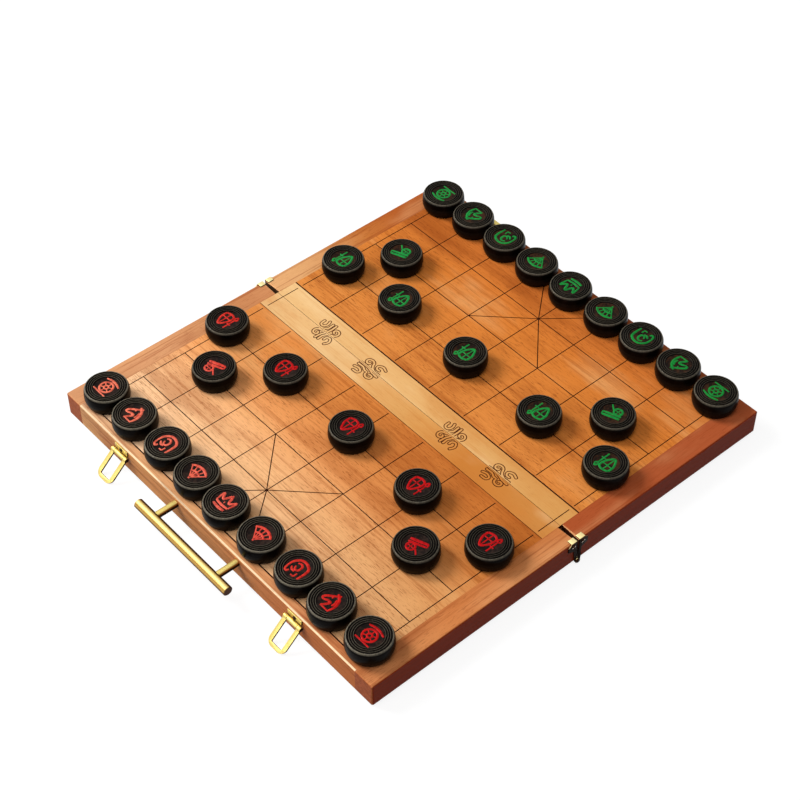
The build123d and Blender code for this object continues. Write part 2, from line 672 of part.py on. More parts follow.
def bail(latch_y):
    """A U of flat strip, with each leg rolled into an eye; it leans out from its pin."""
    pin = Vector(across(RED, HALF_LENGTH + PIN_REACH), latch_y, PIN_Z)
    slope = math.radians(BAIL_SLOPE)
    out = Vector(-math.cos(slope), 0, -math.sin(slope))
    flat = Plane(origin=pin, x_dir=out, z_dir=out.cross(Vector(0, 1, 0)))
    leg_middle = (BAIL_WIDTH - BAIL_STRIP) / 2
    with BuildPart() as loop:
        with BuildSketch(flat):
            with Locations((BAIL_REACH / 2, 0)):
                Rectangle(BAIL_REACH, BAIL_WIDTH)
            with Locations(((BAIL_REACH - BAIL_END) / 2, 0)):
                Rectangle(BAIL_REACH - BAIL_END, BAIL_WIDTH - 2 * BAIL_STRIP, mode=Mode.SUBTRACT)
        extrude(amount=BAIL_THICKNESS / 2, both=True)
        across_strip = Axis(pin, flat.z_dir)
        upright = loop.edges().filter_by(across_strip)
        far_edges = upright.sort_by(lambda edge: (edge.center() - pin).dot(out))
        fillet(far_edges[-2:], BAIL_CORNER)
        inner_edges = [
            edge for edge in loop.edges().filter_by(across_strip)
            if abs((edge.center() - pin).dot(out) - (BAIL_REACH - BAIL_END)) < 0.01
        ]
        fillet(inner_edges, BAIL_INNER_CORNER)
        for end in (FRONT, BACK):
            start = (pin.X, latch_y + end * leg_middle - BAIL_STRIP / 2, pin.Z)
            faceted_rod(start, (0, 1, 0), EYE_RADIUS, BAIL_STRIP, ROLL_SIDES)
        rod(
            (pin.X, latch_y - BAIL_WIDTH, pin.Z), (0, 1, 0), PIN_RADIUS + RUNNING_CLEARANCE,
            2 * BAIL_WIDTH, Mode.SUBTRACT,
        )
    return loop


def catches():
    """Two plates with a rounded nose, which the bails are drawn over when the box is shut."""
    plate_face = across(GREEN, HALF_LENGTH)
    with BuildPart() as plates:
        for latch_y in LATCH_YS:
            low, high = latch_y - CATCH_WIDTH / 2, latch_y + CATCH_WIDTH / 2
            lip_top = TOP_Z + LIP_THICKNESS
            block(GREEN, HALF_LENGTH, HALF_LENGTH + SHEET, low, high, TOP_Z - CATCH_DROP, lip_top)
            block(GREEN, HALF_LENGTH - CATCH_LIP, HALF_LENGTH, low, high, TOP_Z, lip_top)
            # the nose: a tongue with a half-round end
            with BuildSketch(Plane.XZ.offset(-(latch_y + NOSE_WIDTH / 2))) as nose:
                round_at = NOSE_REACH - NOSE_HEIGHT / 2
                with Locations((plate_face + round_at / 2, NOSE_Z)):
                    Rectangle(round_at, NOSE_HEIGHT)
                with Locations((plate_face + round_at, NOSE_Z)):
                    Circle(NOSE_HEIGHT / 2)
            extrude(nose.sketch, amount=NOSE_WIDTH)
            for offset in (-1, 1):
                screw_y = latch_y + offset * CATCH_SCREW_SPACING / 2
                faceted_rod(
                    (plate_face, screw_y, TOP_Z - CATCH_SCREW_DROP), (1, 0, 0), SCREW_HOLE,
                    SHEET, SCREW_SIDES, Mode.SUBTRACT,
                )
        # the folded edges are rounded
        folds = plates.edges().filter_by(Axis.Y).group_by(Axis.Z)[-1]
        fillet(folds.group_by(Axis.X)[-1], LIP_THICKNESS / 2)
    return plates


# ================================================================= men
def faceted_cone(x, y, wide_z, wide_radius, narrow_radius, rise, mode=Mode.ADD):
    """A stretch of a man: flats that lean in, upwards or downwards, from its widest level."""
    lean = (wide_radius - narrow_radius) * math.cos(math.pi / MAN_SIDES)
    with BuildPart(mode=Mode.PRIVATE) as cone:
        with BuildSketch(Plane.XY.offset(wide_z)):
            with Locations((x, y)):
                RegularPolygon(wide_radius, MAN_SIDES)
        extrude(amount=abs(rise), taper=math.degrees(math.atan2(lean, abs(rise))))
    if rise > 0:
        add(cone.part, mode=mode)
    else:
        mirror(cone.part, about=Plane.XY.offset(wide_z), mode=mode)


def man(x, y):
    """A man: a barrel-sided disc with a bevelled rim and a dished top."""
    belly, shoulder, top = (
        TOP_Z + height for height in (MAN_BELLY_HEIGHT, MAN_SHOULDER_HEIGHT, MAN_HEIGHT)
    )
    with BuildPart() as piece:
        faceted_cone(x, y, belly, MAN_BELLY_RADIUS, MAN_FOOT_RADIUS, -MAN_BELLY_HEIGHT)
        faceted_cone(x, y, belly, MAN_BELLY_RADIUS, MAN_SHOULDER_RADIUS, shoulder - belly)
        faceted_cone(x, y, shoulder, MAN_SHOULDER_RADIUS, MAN_RIM_RADIUS, top - shoulder)
        faceted_cone(
            x, y, top, MAN_DISH_RADIUS, MAN_DISH_FLOOR_RADIUS, -MAN_DISH_DEPTH, Mode.SUBTRACT,
        )
    return piece


def men_places(side):
    """Name, X and Y of each of one side's sixteen men."""
    name = SIDE_NAMES[side]
    row_centre = RED_ROW_CENTRE if side == RED else GREEN_ROW_CENTRE
    placed = []
    for file_number, kind in enumerate(BACK_ROW, start=1):
        y = row_centre + (FILE_COUNT + 1 - 2 * file_number) / 2 * BACK_ROW_SPACING
        placed.append((kind, rank_distance(1) - BACK_ROW_SET_IN, y))
    for file_number in CANNON_FILES:
        placed.append(("cannon", rank_distance(3), file_y(file_number)))
    for file_number in SOLDIER_FILES:
        set_in = OUTER_SOLDIER_SET_IN if file_number in (1, FILE_COUNT) else 0
        y = file_y(file_number)
        placed.append(("soldier", rank_distance(SOLDIER_RANK), y - math.copysign(set_in, y)))
    counts = {}
    for kind, distance, y in placed:
        counts[kind] = counts.get(kind, 0) + 1
        label = f"{name}_{kind}" if kind == "general" else f"{name}_{kind}_{counts[kind]}"
        nudge_x, nudge_y = NUDGES.get(label, (0, 0))
        yield label, across(side, distance) + NUDGE_STEP * nudge_x, y + NUDGE_STEP * nudge_y


# ================================================================= build and write every piece
for tray in (RED, GREEN):
    tray_name = SIDE_NAMES[tray]
    finish_piece(side_rail(tray, FRONT), f"{tray_name}_front_rail")
    finish_piece(side_rail(tray, BACK), f"{tray_name}_back_rail")
    finish_piece(end_rail(tray), f"{tray_name}_end_rail")
    finish_piece(spine_rail(tray), f"{tray_name}_spine_rail")
    finish_piece(playing_panel(tray), f"{tray_name}_playing_panel")
    finish_piece(river_strip(tray), f"{tray_name}_river_strip")
    finish_piece(feet(tray), f"{tray_name}_feet")
    finish_piece(hinge_straps(tray), f"{tray_name}_hinge_straps")
    finish_piece(face_screws(tray), f"{tray_name}_face_screws")
    for man_name, man_x, man_y in men_places(tray):
        finish_piece(man(man_x, man_y), man_name)

finish_piece(hinge_rivets(), "hinge_rivets")
finish_piece(handle_bar(), "handle_bar")
finish_piece(handle_posts(), "handle_posts")
finish_piece(handle_screws(), "handle_screws")
finish_piece(latch_plates(), "latch_plates")
finish_piece(latch_pins(), "latch_pins")
finish_piece(bail(LATCH_YS[0]), "front_bail")
finish_piece(bail(LATCH_YS[1]), "back_bail")
finish_piece(catches(), "catches")
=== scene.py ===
"""Looks of a xiangqi box: a folding wooden case laid open as a board, its brass fittings and its men.

Lengths in the dataclasses are in millimetres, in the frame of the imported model: +X runs from the red
half to the green half, +Y along the river, +Z up, with the table at Z = 0.
"""
import logging
import math
from collections.abc import Callable, Iterable, Iterator, Sequence
from contextlib import contextmanager
from dataclasses import dataclass, field
from enum import Enum
from typing import Any

import bmesh
import bpy
from mathutils import Matrix, Quaternion, Vector


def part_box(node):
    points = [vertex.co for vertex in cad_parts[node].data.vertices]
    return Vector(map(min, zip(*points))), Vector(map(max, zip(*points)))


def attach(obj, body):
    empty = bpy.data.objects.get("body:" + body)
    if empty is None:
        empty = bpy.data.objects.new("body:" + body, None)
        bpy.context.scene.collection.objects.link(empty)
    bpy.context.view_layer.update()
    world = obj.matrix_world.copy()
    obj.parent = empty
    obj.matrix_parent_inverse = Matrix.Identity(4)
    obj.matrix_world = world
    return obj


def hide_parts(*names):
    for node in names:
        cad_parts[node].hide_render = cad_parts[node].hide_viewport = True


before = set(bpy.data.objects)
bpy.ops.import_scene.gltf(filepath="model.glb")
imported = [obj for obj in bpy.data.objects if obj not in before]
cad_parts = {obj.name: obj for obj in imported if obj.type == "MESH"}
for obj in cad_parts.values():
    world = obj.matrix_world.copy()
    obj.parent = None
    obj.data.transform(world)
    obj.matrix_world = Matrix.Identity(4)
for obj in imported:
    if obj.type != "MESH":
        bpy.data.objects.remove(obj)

LOG = logging.getLogger("xiangqi_box")
MM = 0.001
SEAM_X = 9.45    # the line on which the box folds, in the middle of the river
SIDES = ("red", "green")
DRAWN_POINTS = 12    # a path with this many points is a drawn curve already, and isn't smoothed
DULL = 0.03    # specular level of a surface that would otherwise mirror the white all round it

Colour = tuple[float, float, float]
Stops = tuple[tuple[float, Colour], ...]
Point = tuple[float, float]
Path = list[Point]
Box = tuple[Vector, Vector]


# ------------------------------------------------------------------------------------ small tools
def tint(red: int, green: int, blue: int) -> Colour:
    """A display colour from 0 to 255 as the linear colour that a shader takes."""
    levels = [part / 255 for part in (red, green, blue)]
    return tuple(level / 12.92 if level <= 0.04045 else ((level + 0.055) / 1.055) ** 2.4 for level in levels)


def tones(*rows: tuple[float, int, int, int]) -> Stops:
    """Colours along a length or a turn, from rows of (place, red, green, blue)."""
    return tuple((place, tint(*parts)) for place, *parts in rows)


def box_mm(node: str) -> Box:
    """Lowest and highest corner of a CAD node, in millimetres."""
    low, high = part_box(node)
    return low / MM, high / MM


def polar(radius: float, degrees: float) -> Point:
    """The point at a distance and a bearing from the middle."""
    return radius * math.cos(math.radians(degrees)), radius * math.sin(math.radians(degrees))


def heading(bearing: float, height: float) -> Vector:
    """The direction at a bearing and a height, both in degrees.

    Args:
        bearing: the turn from +X towards +Y.
        height: the climb above the table's plane.

    Returns:
        A vector of length 1.
    """
    flat, up = polar(1.0, height)
    x, y = polar(flat, bearing)
    return Vector((x, y, up))


def arc(middle: Point, radius: float, start: float, end: float, steps: int = 12) -> Path:
    """Points along an arc, from one bearing to another, in degrees."""
    turns = [start + (end - start) * i / steps for i in range(steps + 1)]
    return [(middle[0] + x, middle[1] + y) for x, y in (polar(radius, turn) for turn in turns)]


def smoothed(path: Path, steps: int = 6) -> Path:
    """A soft line through the given points.

    Args:
        path: the points that the line passes.
        steps: how many parts each run between two of them gets.

    Returns:
        The points of the soft line, the given ones among them.
    """
    if len(path) < 3 or len(path) >= DRAWN_POINTS:
        return list(path)

    def between(a: float, b: float, c: float, d: float, t: float) -> float:
        """The value at a share t of the way from b to c."""
        bend = 2 * a - 5 * b + 4 * c - d
        return 0.5 * (2 * b + (c - a) * t + bend * t**2 + (3 * b - a - 3 * c + d) * t**3)

    padded = [path[0], *path, path[-1]]
    soft = []
    for corners in zip(padded, padded[1:], padded[2:], padded[3:]):
        soft += [tuple(between(*four, i / steps) for four in zip(*corners)) for i in range(steps)]
    return [*soft, path[-1]]


def scaled(path: Path, size: float) -> Path:
    """A path drawn larger or smaller about the middle."""
    return [(x * size, y * size) for x, y in path]


def new_piece(name: str, data: bpy.types.ID) -> bpy.types.Object:
    """A new object at the origin that shows a mesh, or another kind of data.

    Args:
        name: its name.
        data: what it shows, in metres and in place.

    Returns:
        The object, linked to the scene.
    """
    piece = bpy.data.objects.new(name, data)
    bpy.context.scene.collection.objects.link(piece)
    return piece


def stand_in(mesh: bpy.types.Mesh, node: str, body: str) -> None:
    """Puts a turned mesh in a CAD node's place and on its body, and hides the node.

    Args:
        mesh: the turned mesh.
        node: the CAD node that it is shown for.
        body: the body that it moves with.
    """
    piece = new_piece(node + "_turned", mesh)
    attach(piece, body)
    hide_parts(node)


def mesh_from(
    name: str, points: Iterable[Sequence[float]], edges: Iterable = (), faces: Iterable = ()
) -> bpy.types.Mesh:
    """A mesh in metres from points in millimetres.

    Args:
        name: its name.
        points: where its points are.
        edges: pairs of points.
        faces: loops of points.

    Returns:
        The mesh.
    """
    mesh = bpy.data.meshes.new(name)
    mesh.from_pydata([Vector(point) * MM for point in points], list(edges), list(faces))
    return mesh


def plain_mesh(name: str, source: bpy.types.Object) -> bpy.types.Mesh:
    """The evaluated shape of an object as a mesh of its own, with the object gone afterwards.

    Args:
        name: the mesh's name.
        source: the object, with its modifiers.

    Returns:
        The mesh, free of modifiers.
    """
    graph = bpy.context.evaluated_depsgraph_get()
    mesh = bpy.data.meshes.new_from_object(source.evaluated_get(graph))
    mesh.name = name
    bpy.data.objects.remove(source)
    return mesh


@contextmanager
def edited(mesh: bpy.types.Mesh) -> Iterator[bmesh.types.BMesh]:
    """Opens a mesh for editing, and writes it back at the end.

    Args:
        mesh: the mesh to edit.

    Returns:
        The open copy, for use in a with block.
    """
    work = bmesh.new()
    work.from_mesh(mesh)
    yield work
    work.to_mesh(mesh)
    work.free()


def put_right(mesh: bpy.types.Mesh, near: float = 1e-6) -> None:
    """Merges a mesh's doubled points and turns its faces outwards.

    Args:
        mesh: the mesh to mend.
        near: points closer than this are merged, in metres.
    """
    with edited(mesh) as work:
        bmesh.ops.remove_doubles(work, verts=work.verts, dist=near)
        bmesh.ops.recalc_face_normals(work, faces=work.faces)


def dressed(mesh: bpy.types.Mesh, *materials: bpy.types.Material) -> None:
    """Gives a mesh these materials and no others.

    Args:
        mesh: the mesh to dress.
        materials: one for each material index.
    """
    mesh.materials.clear()
    for material in materials:
        mesh.materials.append(material)


def shade(mesh: bpy.types.Mesh, degrees: float = 30.0) -> None:
    """Shades a mesh smooth, except at edges sharper than the angle."""
    mesh.shade_smooth()
    mesh.set_sharp_from_angle(angle=math.radians(degrees))


def merged(node: str) -> bpy.types.Mesh:
    """A copy of a CAD node's mesh, its doubled points merged and its flat faces made whole.

    Args:
        node: the CAD node's name.

    Returns:
        The copy, in place.
    """
    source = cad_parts[node]
    mesh = source.data.copy()
    mesh.name = node + "_copy"
    mesh.transform(source.matrix_world)
    put_right(mesh)
    with edited(mesh) as work:
        bmesh.ops.dissolve_limit(work, angle_limit=math.radians(0.4), verts=work.verts, edges=work.edges)
    return mesh


def islands(node: str) -> list[Box]:
    """Lowest and highest corner of each separate solid of a CAD node, in millimetres.

    Args:
        node: the CAD node's name.

    Returns:
        The boxes, in order of their lowest corners.
    """
    mesh = merged(node)
    boxes = []
    with edited(mesh) as work:
        left = set(work.verts)
        while left:
            group, edge = set(), [left.pop()]
            while edge:
                spot = edge.pop()
                group.add(spot)
                near = {line.other_vert(spot) for line in spot.link_edges} & left
                left -= near
                edge += near
            places = [spot.co / MM for spot in group]
            corners = [Vector(pick(spot[i] for spot in places) for i in range(3)) for pick in (min, max)]
            boxes.append(tuple(corners))
    bpy.data.meshes.remove(mesh)
    return sorted(boxes, key=lambda box: tuple(box[0]))


def rods(node: str, axis: int) -> tuple[float, float, list[Vector]]:
    """Radius, length and feet of a node's equal round solids, which lie along an axis.

    Args:
        node: the CAD node's name.
        axis: 0, 1 or 2 for X, Y or Z.

    Returns:
        The radius, the length and the middle of each low end, in millimetres.
    """
    boxes = islands(node)
    size = boxes[0][1] - boxes[0][0]
    feet = []
    for low, high in boxes:
        foot = (low + high) / 2
        foot[axis] = low[axis]
        feet.append(foot)
    return size[0 if axis == 2 else 2] / 2, size[axis], feet


def rod_outline(radius: float, length: float, edge: float, flat: float) -> Path:
    """The outline of a rod whose ends ease in, over an edge, to a flat of a smaller radius."""
    return [(0.0, 0.0), (flat, 0.0), (radius, edge), (radius, length - edge), (flat, length), (0.0, length)]


def softened(
    node: str, width: float, material: bpy.types.Material, crease: float = 40.0
) -> bpy.types.Object:
    """A piece in the shape of a CAD node, its sharp edges rounded over.

    Args:
        node: the CAD node that it stands for.
        width: how far the rounding reaches from each edge, in millimetres.
        material: what it is made of.
        crease: only edges sharper than this many degrees are rounded.

    Returns:
        The piece, named after the node, which is hidden.
    """
    mesh = merged(node)
    with edited(mesh) as work:
        least = math.radians(crease)
        sharp = [line for line in work.edges if len(line.link_faces) == 2 and line.calc_face_angle() > least]
        bmesh.ops.bevel(
            work, geom=sharp, offset=width * MM, offset_type="OFFSET", segments=2, profile=0.5,
            affect="EDGES", clamp_overlap=True,
        )
        bmesh.ops.recalc_face_normals(work, faces=work.faces)
    dressed(mesh, material)
    shade(mesh, crease)
    piece = new_piece(node + "_soft", mesh)
    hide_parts(node)
    return piece


def aim(way: Sequence[float], roll: float = 0.0) -> tuple[float, float, float]:
    """The turn that points an upright piece along a direction, rolled about it by some degrees."""
    axis = Vector(way)
    return tuple((Quaternion(axis, math.radians(roll)) @ axis.to_track_quat("Z", "Y")).to_euler())


# ------------------------------------------------------------------------------------ shader maths
def _operator(operation: str, swapped: bool = False) -> Callable[["Value", "Value | float"], "Value"]:
    """A method that stands for one of Python's operators and adds one Math node.

    Args:
        operation: the Math node's operation.
        swapped: whether the value itself comes second.

    Returns:
        The method.
    """

    def method(self: "Value", other: "Value | float") -> "Value":
        """The operator's result."""
        return self.graph.maths(operation, *((other, self) if swapped else (self, other)))

    return method


class Value:
    """A node's output, on which Python's operators add Math nodes."""

    __add__ = __radd__ = _operator("ADD")
    __sub__ = _operator("SUBTRACT")
    __rsub__ = _operator("SUBTRACT", swapped=True)
    __mul__ = __rmul__ = _operator("MULTIPLY")

    def __init__(self, graph: "Graph", socket: bpy.types.NodeSocket) -> None:
        """Wraps a socket of a graph."""
        self.graph, self.socket = graph, socket


class Graph:
    """A node tree under construction."""

    def __init__(self, tree: bpy.types.NodeTree) -> None:
        """Takes over a tree and empties it."""
        self.tree = tree
        tree.nodes.clear()

    def node(self, kind: str, inputs: dict[Any, Any] | None = None, **settings: Any) -> bpy.types.Node:
        """Adds one node.

        Args:
            kind: the node's type.
            inputs: a value or a link for each named or numbered input.
            settings: its properties, which are set first.

        Returns:
            The node.
        """
        node = self.tree.nodes.new(kind)
        for name, setting in settings.items():
            setattr(node, name, setting)
        for key, given in (inputs or {}).items():
            self.feed(node.inputs[key], given)
        return node

    def value(
        self, kind: str, inputs: dict[Any, Any] | None = None, out: str | int = 0, **settings: Any
    ) -> Value:
        """Adds one node, and takes one of its outputs as a value."""
        return Value(self, self.node(kind, inputs, **settings).outputs[out])

    def feed(self, socket: bpy.types.NodeSocket, given: Any) -> None:
        """Links an output to a socket, or sets the socket's own value.

        Args:
            socket: the input.
            given: an output to link, or the value to set.
        """
        if isinstance(given, Value):
            self.tree.links.new(given.socket, socket)
        elif socket.type == "RGBA" and len(given) == 3:
            socket.default_value = (*given, 1.0)
        else:
            socket.default_value = given

    def maths(self, operation: str, *parts: "Value | float", clamp: bool = False) -> Value:
        """A Math node on numbers."""
        return self.value("ShaderNodeMath", dict(enumerate(parts)), operation=operation, use_clamp=clamp)

    def smooth(self, value: Value, low: float, high: float) -> Value:
        """0 below low and 1 above high, with a soft step between them.

        Args:
            value: what is measured.
            low: where the step starts.
            high: where it ends, or below low for a step down.

        Returns:
            The step, from 0 to 1.
        """
        if low > high:
            return 1 - self.smooth(value, high, low)
        inputs = {"Value": value, "From Min": low, "From Max": high}
        return self.value("ShaderNodeMapRange", inputs, interpolation_type="SMOOTHSTEP")

    def smooth_mm(self, value: Value, low: float, high: float) -> Value:
        """The same soft step between two lengths in millimetres."""
        return self.smooth(value, low * MM, high * MM)

    def mix(self, factor: Value | float, first: Any, second: Any, blend: str = "MIX") -> Value:
        """A colour between two colours."""
        inputs = {0: factor, 6: first, 7: second}
        return self.value("ShaderNodeMix", inputs, 2, data_type="RGBA", blend_type=blend, clamp_factor=True)

    def ramp(self, value: Value, stops: Sequence[tuple[float, Colour]]) -> Value:
        """A colour looked up on a ramp.

        Args:
            value: the place on the ramp, from 0 to 1.
            stops: places and their colours, in order.

        Returns:
            The colour.
        """
        node = self.node("ShaderNodeValToRGB", {"Fac": value})
        elements = node.color_ramp.elements
        while len(elements) < len(stops):
            elements.new(1.0)
        for element, (place, colour) in zip(elements, stops):
            element.position = place
            element.color = (*colour, 1.0)
        return Value(self, node.outputs["Color"])

    def drift(self, value: Value, stops: Stops) -> Value:
        """A colour that drifts along a length, its stops in millimetres.

        Args:
            value: the place, in metres.
            stops: places in millimetres and their colours, in order.

        Returns:
            The colour.
        """
        first, last = stops[0][0], stops[-1][0]
        span = self.maths("DIVIDE", value - first * MM, (last - first) * MM, clamp=True)
        return self.ramp(span, [((place - first) / (last - first), colour) for place, colour in stops])

    def place(self) -> Value:
        """The point on the piece, in metres."""
        return self.value("ShaderNodeTexCoord", out="Object")

    def facing(self) -> tuple[Value, Value, Value]:
        """Which way the surface faces, in the piece's own frame."""
        return self.parts(self.value("ShaderNodeTexCoord", out="Normal"))

    def parts(self, vector: Value) -> tuple[Value, Value, Value]:
        """The three parts of a vector."""
        outputs = self.node("ShaderNodeSeparateXYZ", {0: vector}).outputs
        return Value(self, outputs[0]), Value(self, outputs[1]), Value(self, outputs[2])

    def noise(
        self, spacing: Sequence[float], detail: float = 2.0, roughness: float = 0.5,
        shift: Sequence[float] = (0, 0, 0), twist: float = 0.0,
    ) -> Value:
        """Soft random values from 0 to 1, one cell to so many millimetres along each axis.

        Args:
            spacing: the cells' size along X, Y and Z.
            detail: how many finer layers are added.
            roughness: how strong each finer layer is.
            shift: moves the pattern, in cells.
            twist: how far the pattern is bent.

        Returns:
            The random value.
        """
        scale = [1 / (step * MM) for step in spacing]
        place = {"Vector": self.place(), "Scale": scale, "Location": tuple(shift)}
        cells = {"Vector": self.value("ShaderNodeMapping", place), "Scale": 1.0}
        figure = {"Detail": detail, "Roughness": roughness, "Distortion": twist}
        return self.value("ShaderNodeTexNoise", cells | figure, "Fac")

    def bump(self, height: Value, depth: float, strength: float = 1.0) -> Value:
        """A normal from a height that runs from 0 to 1 over a depth in millimetres."""
        inputs = {"Height": height, "Distance": depth * MM, "Strength": strength}
        return self.value("ShaderNodeBump", inputs, "Normal")


def new_material(name: str) -> tuple[bpy.types.Material, Graph]:
    """An empty node material and its graph.

    Args:
        name: its name.

    Returns:
        The material and the graph that fills it.
    """
    material = bpy.data.materials.new(name)
    material.use_nodes = True
    return material, Graph(material.node_tree)


# ------------------------------------------------------------------------------------ finishes
@dataclass(frozen=True)
class Finish:
    """A material that ends in one Principled shader."""

    name: str

    def surface(self, graph: Graph) -> dict[str, Any]:
        """The shader's inputs, which each kind of finish works out."""
        raise NotImplementedError

    def build(self) -> bpy.types.Material:
        """Makes the material.

        Returns:
            The material, which carries the finish's own name.
        """
        material, graph = new_material(self.name)
        shader = graph.value("ShaderNodeBsdfPrincipled", self.surface(graph))
        graph.node("ShaderNodeOutputMaterial", {"Surface": shader})
        return material


class Grain(Enum):
    """Which way a board's fibres run."""

    ALONG_RIVER = "y"
    ACROSS_RIVER = "x"


@dataclass(frozen=True)
class StainAndLightFace:
    """An outer face with a colour of its own, past a distance from the middle along one axis, used for
    real stains, for painted shade and for a painted highlight.

    A wash multiplies the wood's own tones, and above a height only the upper edge is reached.
    """

    axis: int
    middle: float
    past: float
    colour: Colour
    wash: bool = False
    # Above this height only the upper edge is reached, as for the painted highlight along an arris.
    above: float | None = None

    def share(self, graph: Graph, axes: Sequence[Value]) -> Value:
        """How much of the stain reaches a point, from 0 to 1.

        Args:
            graph: the wood's graph.
            axes: the point's X, Y and Z.

        Returns:
            The share.
        """
        reach = graph.maths("ABSOLUTE", axes[self.axis] - self.middle * MM)
        share = graph.smooth_mm(reach, self.past - 0.25, self.past + 0.3)
        if self.above is not None:
            share = share * graph.smooth_mm(axes[2], self.above - 0.25, self.above + 0.25)
        return share


@dataclass(frozen=True)
class WoodFinish(Finish):
    """Oiled wood: tones that drift along the board, clouds, long soft figure and short dark flecks.

    The drift is a row of (place, colour) along one axis, in millimetres, and on some woods it holds painted
    sheen as well as the wood's own tone. A river sheen multiplies the tones by one colour at the front, by
    another at the back and by their mixes between: painted sheen, paler towards the back.
    """

    grain: Grain
    drift: Stops
    deep: Colour
    fleck: Colour
    pale: Colour
    drift_axis: int = 0
    # Painted sheen: front and back multipliers along the river, and their reach from the middle in
    # millimetres.
    river_sheen: tuple[Colour, Colour] | None = None
    sheen_reach: float = 160.0
    fleck_share: float = 0.5
    figure_share: float = 0.5
    cloud_share: float = 0.5
    roughness: float = 0.42
    cloud_size: float = 60.0
    line_paint: Colour | None = None
    line_top: float = 23.93
    stain_and_light_faces: tuple[StainAndLightFace, ...] = ()
    # Painted highlight on the side rails' upper ends beside the seam: its reach from the seam and its
    # height, in millimetres.
    gleam_off_seam: tuple[float, float] = (2.7, 2.1)
    gleam_height: tuple[float, float] = (22.8, 23.4)
    joint_reach: tuple[float, float] = (162.0, 161.5)
    # Painted shade in the slot at the seam: its colour, and its reach from the seam in millimetres.
    seam_shade: Colour = tint(38, 18, 10)
    seam_shade_reach: tuple[float, float] = (5.0, 3.0)
    seed: float = 0.0

    def _pattern(
        self, graph: Graph, steps: tuple[float, float, float], shift: float, detail: float, rough: float,
        twist: float = 0.0,
    ) -> Value:
        """One layer of the figure, its steps given along the grain, across it and upwards.

        Args:
            graph: the wood's graph.
            steps: the three steps, in millimetres.
            shift: sets one layer apart from the others.
            detail: how many finer layers are added.
            rough: how strong each finer layer is.
            twist: how far the figure is bent.

        Returns:
            The layer, from 0 to 1.
        """
        long, across, upright = steps
        spacing = (across, long, upright) if self.grain is Grain.ALONG_RIVER else steps
        offset = (shift + self.seed, shift * 2 + self.seed, shift)
        return graph.noise(spacing, detail, rough, offset, twist)

    def surface(self, graph: Graph) -> dict[str, Any]:
        """Drift, clouds, figure and flecks, with stains and painted light on some faces, painted highlight
        and shade by the seam, and painted lines over them.

        Args:
            graph: the material's own graph.

        Returns:
            A value for each of the shader's inputs.
        """
        axes = graph.parts(graph.place())
        cloud = self._pattern(graph, (self.cloud_size * 1.6, self.cloud_size, 40), 0.0, 3, 0.55)
        board = self._pattern(graph, (260, 17, 30), 3.0, 2, 0.5)
        figure = self._pattern(graph, (95, 2.6, 2.6), 1.0, 4, 0.6, 0.5)
        short = self._pattern(graph, (6.0, 0.62, 0.62), 11.0, 2, 0.55)
        fine = self._pattern(graph, (14, 0.4, 0.4), 2.0, 2, 0.6)
        colour = graph.drift(axes[self.drift_axis], self.drift)
        # Painted sheen: the river sheen pales and cools the wood towards the back and deepens it towards the
        # front.
        if self.river_sheen:
            end = self.sheen_reach * MM
            share = graph.maths("DIVIDE", axes[1] + end, 2 * end, clamp=True)
            colour = graph.mix(1.0, colour, graph.mix(share, *self.river_sheen), "MULTIPLY")
        tone = cloud * 0.6 + board * 0.4
        crowded = graph.smooth(cloud, 0.62, 0.4) * 0.6 + 0.4
        dashes = graph.smooth(short, 0.56, 0.68) * crowded * self.fleck_share
        for share, over in (
            (graph.smooth(tone, 0.5, 0.34) * self.cloud_share, self.deep),
            (graph.smooth(tone, 0.5, 0.68) * self.cloud_share, self.pale),
            (graph.smooth(figure, 0.5, 0.66) * self.figure_share, self.deep),
            (dashes, self.fleck),
            (graph.smooth(fine, 0.35, 0.75) * 0.16, self.deep),
        ):
            colour = graph.mix(share, colour, over)
        for face in self.stain_and_light_faces:
            share = face.share(graph, axes)
            if face.wash:
                colour = graph.mix(share, colour, face.colour, "MULTIPLY")
            else:
                stain = graph.mix(graph.smooth(figure, 0.4, 0.62) * 0.4, face.colour, self.fleck)
                colour = graph.mix(share, colour, stain)
        colour = self._beside_seam(graph, axes, colour)
        if self.line_paint:
            cut = graph.smooth_mm(axes[2], self.line_top + 0.03, self.line_top)
            colour = graph.mix(cut, colour, self.line_paint)
        return {
            "Base Color": colour,
            "Roughness": self.roughness + (fine - 0.5) * 0.16 + dashes * 0.1,
            "Normal": graph.bump(fine * 0.6 - dashes * 0.7 + 0.5, 0.05, 0.5),
            "Specular IOR Level": DULL,
        }

    def _beside_seam(self, graph: Graph, axes: Sequence[Value], colour: Value) -> Value:
        """Paints a highlight on the side rails' upper ends and a dark joint along their inner edge, and
        paints shade on the faces that look into the slot at the seam.

        Args:
            graph: the wood's graph.
            axes: the point's X, Y and Z.
            colour: the wood's colour so far.

        Returns:
            The new colour.
        """
        off_seam = graph.maths("ABSOLUTE", axes[0] - SEAM_X * MM)
        if self.grain is Grain.ACROSS_RIVER:
            # Painted highlight: pale on the rails' upper ends just beside the seam.
            upper = graph.smooth_mm(axes[2], *self.gleam_height)
            painted_gleam = graph.smooth_mm(off_seam, *self.gleam_off_seam) * upper
            colour = graph.mix(painted_gleam * 0.75, colour, self.pale)
            joint = graph.smooth_mm(graph.maths("ABSOLUTE", axes[1]), *self.joint_reach)
            colour = graph.mix(joint * 0.65, colour, self.fleck)
        # Painted shade: faces that look into the slot at the seam turn near black.
        seam_facing = graph.smooth(graph.maths("ABSOLUTE", graph.facing()[0]), 0.8, 0.97)
        near_seam = graph.smooth_mm(off_seam, *self.seam_shade_reach)
        return graph.mix(seam_facing * near_seam * 0.9, colour, self.seam_shade)


